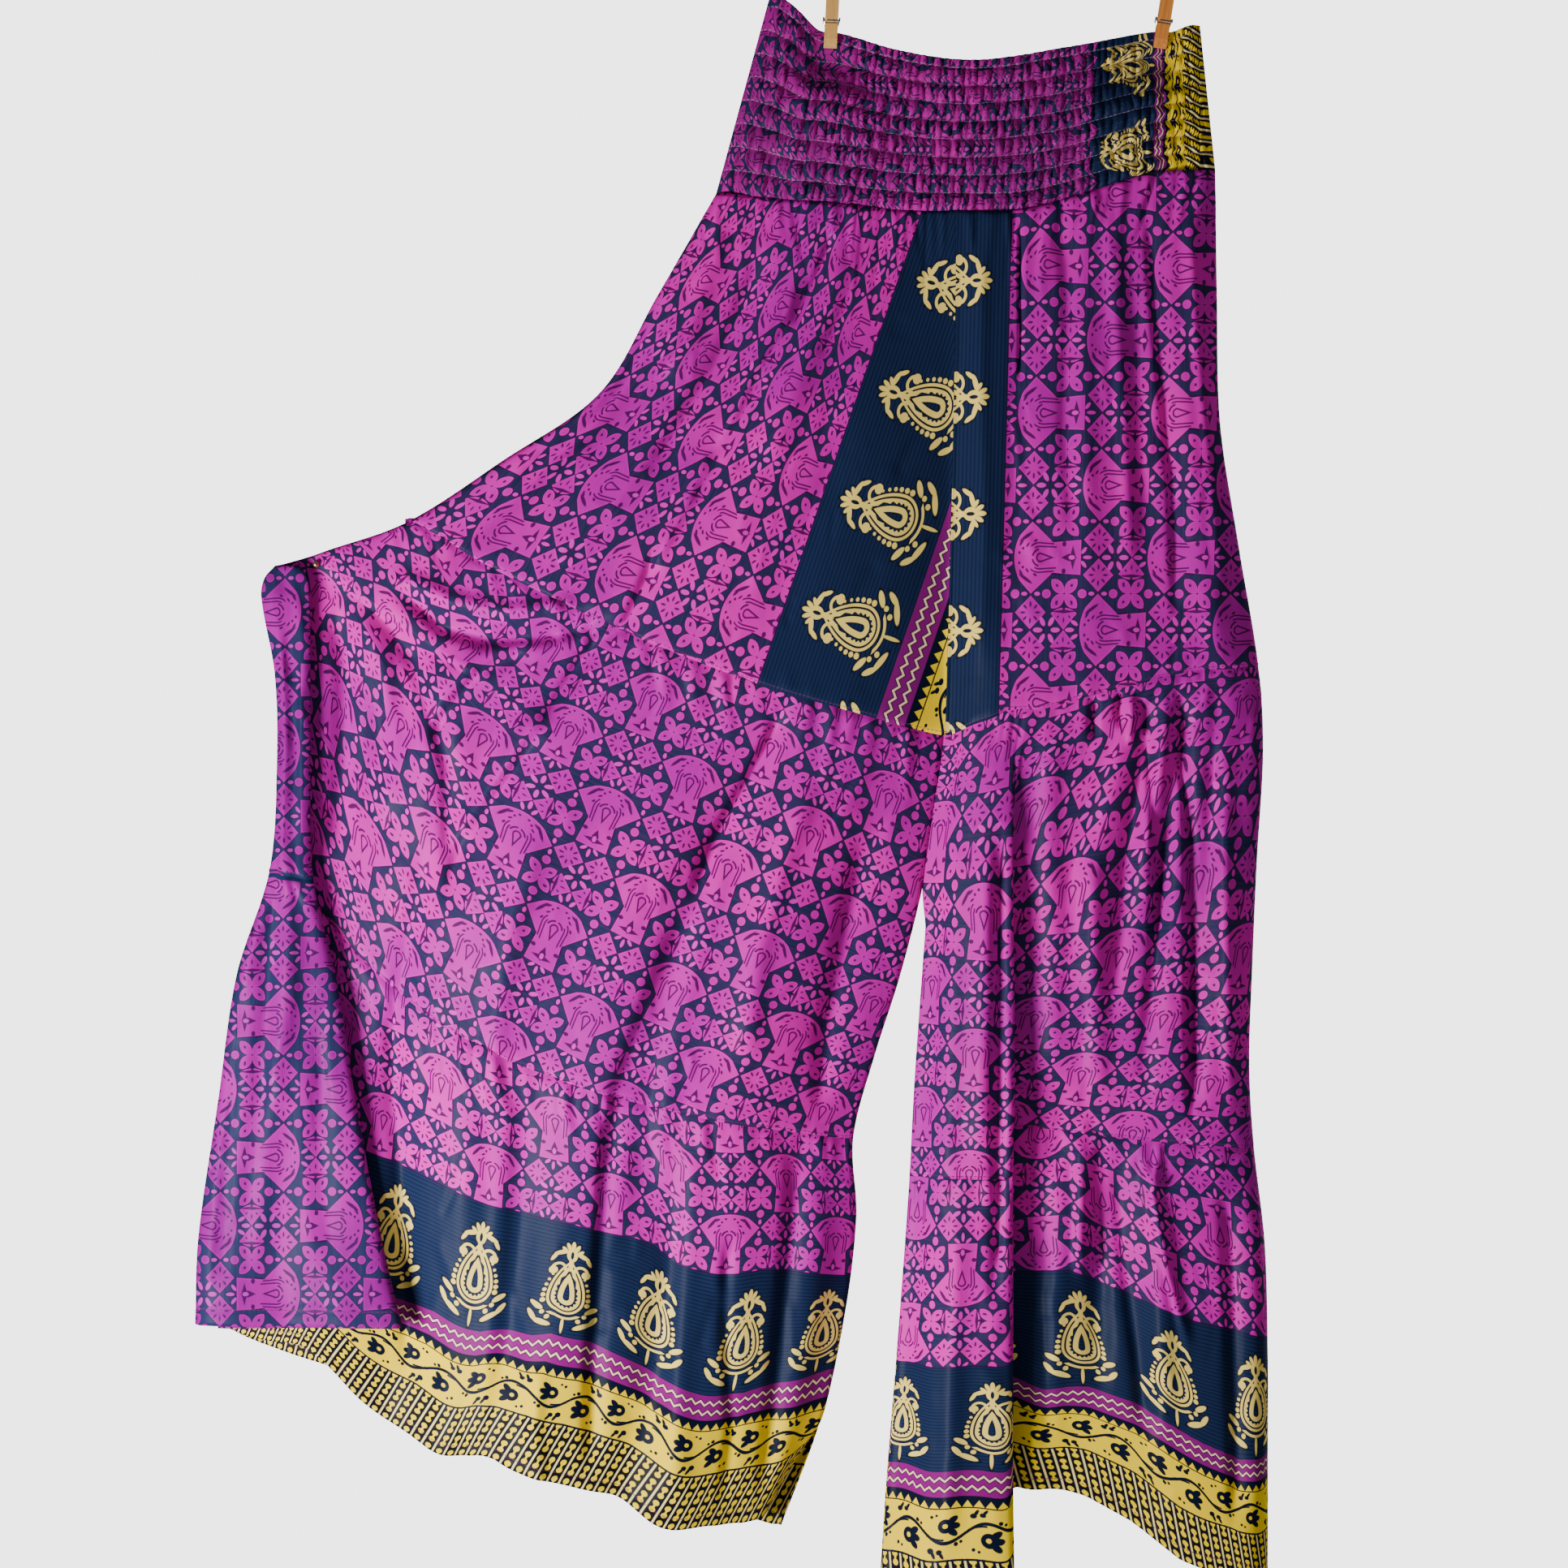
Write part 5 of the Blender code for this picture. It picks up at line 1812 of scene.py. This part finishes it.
@dataclass(frozen=True)
class PrintedSilk:
    """Thin art silk, block printed with the repeat and the border, with a fine slub."""

    name: str
    magenta: Colour = (0.71, 0.002, 0.42, 1.0)
    violet: Colour = (0.46, 0.002, 0.35, 1.0)
    pale: Colour = (0.70, 0.015, 0.50, 1.0)
    navy: Colour = (0.010, 0.021, 0.066, 1.0)
    ink: Colour = (0.022, 0.004, 0.045, 1.0)
    stripe: Colour = (0.003, 0.006, 0.022, 1.0)
    gold: Colour = (0.92, 0.68, 0.16, 1.0)
    yellow: Colour = (0.93, 0.645, 0.0, 1.0)
    black: Colour = (0.006, 0.006, 0.012, 1.0)
    cream: Colour = (0.92, 0.74, 0.28, 1.0)
    rose_cream: Colour = (0.98, 0.66, 0.42, 1.0)
    border_magenta: Colour = (0.22, 0.003, 0.17, 1.0)
    thread: Colour = (0.10, 0.02, 0.08, 1.0)
    roughness: float = 0.44
    crinkle: float = 0.4
    bend: float = 1.32
    shine: float = 0.12

    def repeat(self, g: Graph) -> bpy.types.NodeSocket:
        """Return the colour of the repeat: shields, diamonds, round shapes, leaves and flowers.

        Args:
            g: The material's graph.

        Returns:
            The colour.
        """
        u, v = g.map("field")
        column = (u / REPEAT_WIDTH + 0.5).math("FLOOR")
        x = abs(u - column * REPEAT_WIDTH)
        half = REPEAT_HEIGHT / 2.0
        quarter = REPEAT_HEIGHT / 4.0
        odd = column.math("FLOORED_MODULO", 2.0)
        y = (v + odd * half).wrap(-quarter, REPEAT_HEIGHT - quarter)
        rise = (y + quarter).zigzag(half)
        side = g.spot(REPEAT_WIDTH / 2.0 - x, quarter - y.zigzag(quarter))
        at = Place(x, y, rise, g.spot(x, y), side, g.spot(x, rise))
        body = joined(chain(self.ovals(g, at, Ink.BODY), self.bodies(g, at)))
        light = joined(self.ovals(g, at, Ink.LIGHT))
        dark = joined(chain(self.ovals(g, at, Ink.DARK), self.cuts(g, at)))
        light = light.least(g.oval(at.cell, 0.0, 26.0, 2.1, 1.3, 90))
        place = g.place()
        patches = g.noise(place, 9.0, 2.0).step(0.38, 0.62)
        tone = g.mix(patches, self.violet, self.magenta)
        rim = (abs(body + 0.45) - 0.3).inside(0.25)
        tone = g.mix(rim * 0.35, tone, self.pale)
        ground = g.mix((body.least(light) - 0.4).inside(0.25), self.navy, self.ink)
        colour = g.mix(body.inside(), ground, tone)
        colour = g.mix(dark.inside() * 0.9, colour, self.ink)
        return g.mix(light.inside(), colour, self.pale)

    def ovals(self, g: Graph, at: Place, ink: Ink) -> Iterator[Value]:
        """Yield the repeat's small ovals of one ink.

        Args:
            g: The material's graph.
            at: The point's place in the repeat.
            ink: The ink.

        Returns:
            The distances outside each.
        """
        for frame, spot in (("cell", at.cell), ("side", at.side), ("disc", at.disc)):
            for oval in REPEAT_OVALS.get((frame, ink), ()):
                yield g.oval(spot, *oval)

    def bodies(self, g: Graph, at: Place) -> Iterator[Value]:
        """Yield the repeat's large shapes.

        Args:
            g: The material's graph.
            at: The point's place in the repeat.

        Returns:
            The distances outside each.
        """
        yield self.shield(g, at.cell, at.x, at.y)
        yield g.diamond(at.cell, *DIAMOND, 9.8, 10.0)
        triangle = (at.rise * 10.5 - at.x * 9.4) * (1.0 / 14.1)
        yield triangle.most(g.number("LENGTH", at.disc) - 12.9)
        leaf = g.vector("ABSOLUTE", g.placed(at.side, 4.3, 4.3, (1.0, 1.0), 45.0))
        leaf = g.vector("ADD", leaf, (0.0, 3.2, 0.0))
        yield g.number("LENGTH", leaf) - 6.6

    def cuts(self, g: Graph, at: Place) -> Iterator[Value]:
        """Yield the dark shapes within the large ones.

        Args:
            g: The material's graph.
            at: The point's place in the repeat.

        Returns:
            The distances outside each.
        """
        reach = 4.7
        for turn in range(0, 360, 45):
            angle = math.radians(turn)
            x, y = DIAMOND[0] + reach * math.cos(angle), DIAMOND[1] + reach * math.sin(angle)
            yield g.oval(at.cell, x, y, 1.6, 0.62, turn)
        yield g.diamond(at.disc, 10.7, 0.0, 1.0, 9.0)
        yield g.diamond(at.cell, 0.0, 26.8, 7.0, 2.0)
        yield g.diamond(at.cell, 0.0, 24.3, 2.2, 5.2)
        x, y = at.x, at.y
        above = (y - 5.6).least(0.0)
        cap = (x * x + above * above).math("SQRT")
        drop = cap + (y - 5.6).most(0.0) * 0.316 - 2.4
        yield abs(drop) - 0.5
        yield (abs(cap - 5.0) - 0.55).most(y - 4.4).most(0.9 - x)
        yield (abs(cap - 6.8 + y * 0.05) - 0.42).most(abs(y - 9.0) - 7.0)
        yield (abs(cap - 9.0 + y * 0.08) - 0.42).most(abs(y - 7.0) - 7.5)

    def shield(self, g: Graph, cell: Any, x: Value, y: Value) -> Value:
        """Return the distance outside the repeat's shield: a wide head on a square foot.

        Args:
            g: The material's graph.
            cell: The point from its column's middle.
            x: Its first coordinate.
            y: Its second coordinate.

        Returns:
            The distance.
        """
        upper = g.number("DOT_PRODUCT", cell, (0.698, -0.717, -0.698 * 21.0))
        lower = g.number("DOT_PRODUCT", cell, (0.75, 0.662, -0.75 * 21.0))
        crown = g.number("LENGTH", g.placed(cell, 0.0, 14.0, (1.0, 1.0), 0)) - 25.3
        head = upper.most(lower).most(crown)
        foot = (x - 9.2 - (y - 18.0) * 0.07).most(abs(y - 18.5) - 13.5)
        return head.least(foot)

    def paisley(self, g: Graph, s: Value, t: Value) -> Value:
        """Return the distance outside the border's gold paisleys.

        Args:
            g: The material's graph.
            s: The length along the border.
            t: The length up it.

        Returns:
            The distance.
        """
        across = abs(s.wrap(-PAISLEY_SPACING / 2.0, PAISLEY_SPACING / 2.0))
        down = (ZIGZAG_TOP + 2.0 + PAISLEY_LENGTH) - t
        spot = g.spot(across, down)
        gold = joined(self.golden(g, across, down, spot))
        return gold.most(-g.oval(spot, 0.0, 9.2, 2.8, 1.0, 90))

    def golden(self, g: Graph, across: Value, down: Value, spot: Any) -> Iterator[Value]:
        """Yield the shapes of a paisley: crown, scrolls, rings, dots, petals and leaves.

        Args:
            g: The material's graph.
            across: The length from its middle line.
            down: The length below its top.
            spot: Both as a vector.

        Returns:
            The distances outside each.
        """
        for oval in PAISLEY_OVALS:
            yield g.oval(spot, *oval)
        middle, narrowing = 39.5, 0.017
        for n in range(6):
            size = 0.8 + 0.17 * n
            level = 24.0 + 3.7 * n
            beside = 14.0 - narrowing * (middle - level) ** 2
            yield g.oval(spot, beside, level, size, size, 0.0)
        below = (down - middle).most(0.0)
        above = (middle - down).most(0.0)
        drop = (across * across + below * below).math("SQRT") + above * above * narrowing
        yield (abs(drop - 11.1) - 0.8).most(14.0 - down)
        turn = across.math("ARCTAN2", down - middle)
        tooth = (turn * 5.0).zigzag(1.0) * 1.3
        yield (drop - 9.2).most(7.6 - tooth - drop)
        yield (drop - 5.2).most(2.1 - drop)
        yield (abs(drop - 14.9) - 0.85).most(51.0 - down)
        yield (abs(g.oval(spot, 6.9, 20.2, 4.1, 4.1, 0.0)) - 0.9).most(down - 21.0)

    def border(self, g: Graph) -> tuple[bpy.types.NodeSocket, Value]:
        """Return the border's colour, and the length up it.

        Args:
            g: The material's graph.

        Returns:
            The colour and the length.
        """
        s, t = g.map("border")
        stripes = (abs(t.wrap(-1.25, 1.25)) - 0.4).inside(0.35)
        colour = g.mix(stripes * 0.7, self.navy, self.stripe)
        gold = self.paisley(g, s, t)
        colour = g.mix((gold - 0.6).inside(0.3), colour, self.stripe)
        colour = g.mix(gold.inside(), colour, self.gold)
        wave = s.zigzag(3.0) * (3.2 / 3.0)
        upper = abs(t + wave - 82.6)
        lines = upper.least(abs(t + wave - 75.2))
        band = g.mix((lines - 1.7).inside(0.3), self.border_magenta, self.ink)
        band = g.mix((lines - 0.85).inside(0.25), band, self.rose_cream)
        colour = g.mix((t - ZIGZAG_TOP).inside(0.3), colour, band)
        colour = g.mix((t - ZIGZAG_FOOT).inside(0.3), colour, self.stripe)
        saw = t - VINE_TOP - s.zigzag(3.05) * (5.0 / 3.05)
        colour = g.mix(saw.inside(0.3), colour, self.yellow)
        colour = self.vine(g, s, t, colour)
        return self.comb(g, s, t, colour), t

    def vine(self, g: Graph, s: Value, t: Value, colour: Any) -> bpy.types.NodeSocket:
        """Lay the vine over the yellow: its stem, tulips, commas and dots.

        Args:
            g: The material's graph.
            s: The length along the border.
            t: The length up it.
            colour: The colour under it.

        Returns:
            The colour with the vine.
        """
        span = 22.8
        number = (s / span).math("FLOOR")
        flip = 1.0 - number.math("FLOORED_MODULO", 2.0) * 2.0
        along = s - number * span
        up = (t - 45.5) * flip
        wave = (along * (math.pi / span)).math("SINE") * 5.4
        stem = abs(up - wave) - 1.05
        twin = (abs(up - wave * 0.5 - 1.0) - 0.6).most(abs(along - 5.6) - 5.0)
        spot = g.spot(along, up)
        dark = joined(g.oval(spot, *oval) for oval in VINE_OVALS)
        eye = g.oval(spot, 11.2, -4.0, 1.4, 1.3, 0)
        ink = dark.least(stem).least(twin).most(-eye).least(abs(t - VINE_TOP) - 0.45)
        ink = ink.most(COMB_TOP - t).most(t - VINE_TOP - 0.5)
        return g.mix(ink.inside(), colour, self.stripe)

    def comb(self, g: Graph, s: Value, t: Value, colour: Any) -> bpy.types.NodeSocket:
        """Lay the comb at the hem: cream teeth, with a column of yellow bobbins between them.

        Args:
            g: The material's graph.
            s: The length along the border.
            t: The length up it.
            colour: The colour above it.

        Returns:
            The colour with the comb.
        """
        pitch = 7.9
        across = (s + t * 0.21).wrap(-pitch / 2.0, pitch / 2.0)
        side = abs(across)
        up = abs(t.wrap(-4.65, 4.65))
        bead = g.oval(g.spot(side, up), 0.0, 2.2, 1.85, 1.55, 0.0)
        neck = (side - 0.6).most(up - 3.0)
        ground = g.mix(bead.least(neck).inside(), self.black, self.yellow)
        ground = g.mix((pitch / 2.0 - 0.62 - side).inside(0.2), ground, self.cream)
        ground = g.mix((abs(t - COMB_TOP) - 0.6).inside(), ground, self.stripe)
        return g.mix((t - COMB_TOP - 0.6).inside(), colour, ground)

    def make(self) -> bpy.types.Material:
        """Make the material.

        Returns:
            The material, with its nodes.
        """
        made, g, shader = new_material(self.name)
        border, t = self.border(g)
        line = abs(t - NAVY_TOP) - 0.5
        u, v = g.map("field")
        slub = g.noise(g.spot(u * 0.02, v * 0.9), 1.0, 3.0, 0.6)
        repeat = g.mix(slub.step(0.35, 0.75) * 0.06, self.repeat(g), self.pale)
        colour = g.mix((NAVY_TOP - t).inside(0.3), border, repeat)
        colour = g.mix(line.inside(0.3), colour, self.ink)
        run, gap = g.map("stitch")
        dash = (abs(gap) - 0.3).most(abs(run.wrap(-1.5, 1.5)) - 1.0)
        colour = g.mix(dash.inside() * 0.8, colour, self.thread)
        weave = g.noise(g.spot(u * 0.6, v * 3.0), 1.0, 2.0)
        place = g.place()
        soft = g.noise(place, 46.0, 3.0)
        creased = g.noise(g.vector("MULTIPLY", place, (34.0, 10.0, 9.0)), 1.0, 3.0, 0.55)
        height = (slub - 0.5) * 0.05 + (weave - 0.5) * 0.03 + (soft - 0.5) * self.crinkle
        height = height + (creased - 0.5) * (self.crinkle * 2.2)
        normal = g.relief(height)
        # Seen at a slant, the fibres scatter the light and the sheen goes.
        facing = g.node("LayerWeight", {}, {"Blend": 0.5}).outputs["Facing"]
        slant = Value(g, facing).step(0.15, 0.62)
        rough = self.roughness + (slub - 0.5) * 0.16 + slant * (1.0 - self.roughness)
        g.wire(shader, {"Base Color": colour, "Roughness": rough, "Normal": normal})
        shader.inputs["IOR"].default_value = self.bend
        shader.inputs["Specular IOR Level"].default_value = self.shine
        return made


@dataclass(frozen=True)
class PegWood:
    """Raw wood with a long fine grain and darker pores."""

    name: str
    light: Colour
    dark: Colour
    lean: float

    def make(self) -> bpy.types.Material:
        """Make the material.

        Returns:
            The material, with its nodes.
        """
        made, g, shader = new_material(self.name)
        place = g.place()
        turn = {"Vector": place, "Rotation": (0.0, math.radians(-self.lean), 0.0)}
        place = g.node("Mapping", {"vector_type": "POINT"}, turn).outputs[0]
        long = g.vector("MULTIPLY", place, (900.0, 900.0, 40.0))
        grain = g.noise(long, 1.0, 4.0, 0.6)
        pores = g.noise(g.vector("MULTIPLY", place, (2600.0, 2600.0, 160.0)), 1.0, 2.0)
        colour = g.mix(grain.step(0.35, 0.68), self.light, self.dark)
        colour = g.mix(pores.step(0.62, 0.78) * 0.45, colour, self.dark)
        normal = g.relief(grain * 0.12 + pores * 0.08)
        g.wire(shader, {"Base Color": colour, "Normal": normal, "Roughness": 0.52 + grain * 0.2})
        return made


@dataclass(frozen=True)
class WornMetal:
    """Drawn wire or a polished head, with fine marks and a duller tint in places."""

    name: str
    bright: Colour
    dull: Colour
    roughness: float

    def make(self) -> bpy.types.Material:
        """Make the material.

        Returns:
            The material, with its nodes.
        """
        made, g, shader = new_material(self.name)
        place = g.place()
        marks = g.noise(g.vector("MULTIPLY", place, (700.0, 2400.0, 700.0)), 1.0, 3.0, 0.6)
        tint = g.noise(place, 320.0, 2.0)
        colour = g.mix(tint.step(0.42, 0.66), self.bright, self.dull)
        g.wire(shader, {"Base Color": colour, "Roughness": self.roughness + marks * 0.18})
        shader.inputs["Metallic"].default_value = 1.0
        return made


@dataclass
class Pin:
    """The pin's round head, with the small collar under it."""

    radius: float = 2.1
    collar: float = 1.3
    collar_at: float = 0.62
    most_growth: float = 1.3

    def build(self, finish: bpy.types.Material) -> bpy.types.Object:
        """Make the head where its solid is, its back drawn out into a collar.

        Args:
            finish: The brass.

        Returns:
            The finished piece.
        """
        low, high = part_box("wall_pin")
        middle = [(a + b) / 2.0 for a, b in zip(low, high)]
        clear_selection()
        sizes = {"segments": 40, "ring_count": 24, "radius": self.radius * MM}
        bpy.ops.mesh.primitive_uv_sphere_add(location=middle, **sizes)
        head = bpy.context.object
        head.name = head.data.name = "pin_head"
        bpy.ops.object.transform_apply(location=True, rotation=False, scale=False)
        for vertex in head.data.vertices:
            back = vertex.co.y - middle[1]
            if back > self.collar_at * self.radius * MM:
                across = math.hypot(vertex.co.x - middle[0], vertex.co.z - middle[2])
                grow = min(self.collar * MM / across, self.most_growth) if across > 1e-5 else 1.0
                vertex.co.x = middle[0] + (vertex.co.x - middle[0]) * grow
                vertex.co.z = middle[2] + (vertex.co.z - middle[2]) * grow
        head.data.materials.append(finish)
        head.data.shade_smooth()
        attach(head, BODY)
        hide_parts("wall_pin")
        LOG.info("pin_head: %d faces", len(head.data.polygons))
        return head


class Lamp(NamedTuple):
    """A soft square light: its place and side in metres, its watts, and if it leaves highlights."""

    name: str
    place: Spot
    size: float
    power: float
    shines: bool = True


@dataclass
class Studio:
    """The pale floor and air, the soft lights and the camera at the photograph's angle."""

    field_m: float = 1.024
    middle: tuple[float, float] = (-0.1431, -0.531)
    distance: float = 4.2
    paper: Colour = (0.80, 0.80, 0.80, 1.0)
    floor_radius: float = 5.5
    floor_height: float = -1.75
    floor_glow: float = 2.2
    pale_air: float = 3.6
    faint_air: float = 0.16
    lamps: tuple[Lamp, ...] = (
        Lamp("key", (-1.0, -0.8, -0.95), 0.42, 27.0),
        Lamp("fill", (2.2, -3.0, 0.6), 2.0, 13.0, shines=False),
        Lamp("rear", (1.2, 2.6, -0.2), 1.4, 60.0),
    )

    def camera(self) -> None:
        """Make the camera straight in front of the middle of the frame."""
        data = bpy.data.cameras.new("camera")
        data.sensor_width = 36.0
        data.lens = 36.0 * self.distance / self.field_m
        data.clip_end = 60.0
        made = bpy.data.objects.new("camera", data)
        made.location = (self.middle[0], -self.distance, self.middle[1])
        made.rotation_euler = (math.pi / 2.0, 0.0, 0.0)
        bpy.context.collection.objects.link(made)
        bpy.context.scene.camera = made

    def floor(self) -> None:
        """Make the floor as a wide sheet of pale paper, below the picture's lower edge."""
        clear_selection()
        bpy.ops.mesh.primitive_circle_add(vertices=96, radius=self.floor_radius, fill_type="NGON")
        paper = bpy.context.object
        paper.name = paper.data.name = "floor_paper"
        for vertex in paper.data.vertices:
            vertex.co.z = self.floor_height
        made, g, shader = new_material("floor_paper")
        fibre = g.noise(g.place(), 30.0, 2.0).step(0.2, 0.8)
        darker = tuple(0.985 * c for c in self.paper[:3]) + (1.0,)
        g.wire(shader, {"Base Color": g.mix(fibre, self.paper, darker)})
        shader.inputs["Roughness"].default_value = 0.9
        shader.inputs["Emission Color"].default_value = self.paper
        g.wire(shader, {"Emission Strength": g.camera_ray() * self.floor_glow})
        paper.data.materials.append(made)
        paper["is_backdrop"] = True

    def air(self) -> None:
        """Make the world: pale where the camera sees it, and a faint even light on the pants."""
        world = bpy.data.worlds.new("studio")
        world.use_nodes = True
        g = Graph(world.node_tree)
        back = world.node_tree.nodes["Background"]
        back.inputs["Color"].default_value = (1.0, 1.0, 1.0, 1.0)
        g.wire(back, {"Strength": g.camera_ray() * (self.pale_air - self.faint_air) + self.faint_air})
        bpy.context.scene.world = world

    def light(self, lamp: Lamp) -> None:
        """Make a lamp that faces the pants.

        Args:
            lamp: Its name, place and sizes.
        """
        data = bpy.data.lights.new(lamp.name, "AREA")
        data.size = lamp.size
        data.energy = lamp.power
        made = bpy.data.objects.new(lamp.name, data)
        target = np.array((self.middle[0], 0.0, self.middle[1])) - np.array(lamp.place)
        flat = math.hypot(target[0], target[1])
        made.location = lamp.place
        made.visible_glossy = lamp.shines
        made.rotation_euler = (
            math.atan2(flat, -target[2]),
            0.0,
            math.atan2(target[1], target[0]) - math.pi / 2.0,
        )
        bpy.context.collection.objects.link(made)

    def build(self) -> None:
        """Make the whole studio."""
        self.camera()
        self.floor()
        self.air()
        for lamp in self.lamps:
            self.light(lamp)


def dress_pegs() -> None:
    """Give the pegs and their springs their finishes."""
    pale = PegWood("peg_wood_pale", (0.84, 0.46, 0.12, 1.0), (0.62, 0.30, 0.07, 1.0), 3.0).make()
    warm = PegWood("peg_wood_warm", (0.78, 0.27, 0.035, 1.0), (0.55, 0.17, 0.02, 1.0), 9.0).make()
    wire = WornMetal("spring_wire", (0.62, 0.63, 0.65, 1.0), (0.40, 0.40, 0.41, 1.0), 0.28).make()
    for side, wood in (("left", pale), ("right", warm)):
        for part, finish in (("front", wood), ("back", wood), ("spring", wire)):
            node = bpy.data.objects["peg_%s_%s" % (side, part)]
            node.data.materials.clear()
            node.data.materials.append(finish)
            LOG.info("%s finished", node.name)


def main() -> None:
    """Load the frame, build the cloth and the pin, dress the pegs and set the studio."""
    logging.basicConfig(level=logging.INFO, format="%(message)s")
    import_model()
    cad_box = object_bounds()
    Studio().build()
    silk = PrintedSilk("printed_silk").make()
    # A darker copy of the printed silk for the waistband: painted shade standing in for the shade among
    # the shirred puffs.
    shaded_band_silk = PrintedSilk(
        "shirred_silk",
        magenta=(0.42, 0.006, 0.27, 1.0),
        violet=(0.27, 0.006, 0.19, 1.0),
        pale=(0.44, 0.02, 0.32, 1.0),
        thread=(0.34, 0.22, 0.32, 1.0),
        crinkle=0.25,
    ).make()
    legs = Legs(wide=2.6)
    # A darker, more violet copy of the printed silk for the side panels: painted shade, where the flap
    # turns from the light.
    side_silk = PrintedSilk(
        "side_silk",
        magenta=(0.36, 0.002, 0.28, 1.0),
        violet=(0.22, 0.002, 0.20, 1.0),
        pale=(0.36, 0.02, 0.32, 1.0),
    ).make()
    for panel in legs.hips() + legs.middles() + legs.hems():
        finish = side_silk if panel.name.endswith("side") else silk
        panel.build(finish, "printed_cloth")
    band = Waistband()
    band.layer("waistband_front", -1.0, 5).build(shaded_band_silk, "smocked_cloth")
    band = Waistband(columns=6, fall_steps=76)
    band.layer("waistband_back", 1.0, 6).build(shaded_band_silk, "smocked_cloth")
    brass = WornMetal("pin_metal", (0.72, 0.50, 0.20, 1.0), (0.42, 0.27, 0.10, 1.0), 0.22).make()
    Pin().build(brass)
    dress_pegs()
    boxes = {"cad": cad_box, "visual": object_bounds()}
    plain = {key: [[float(c) for c in corner] for corner in box] for key, box in boxes.items()}


if __name__ == "__main__":
    main()
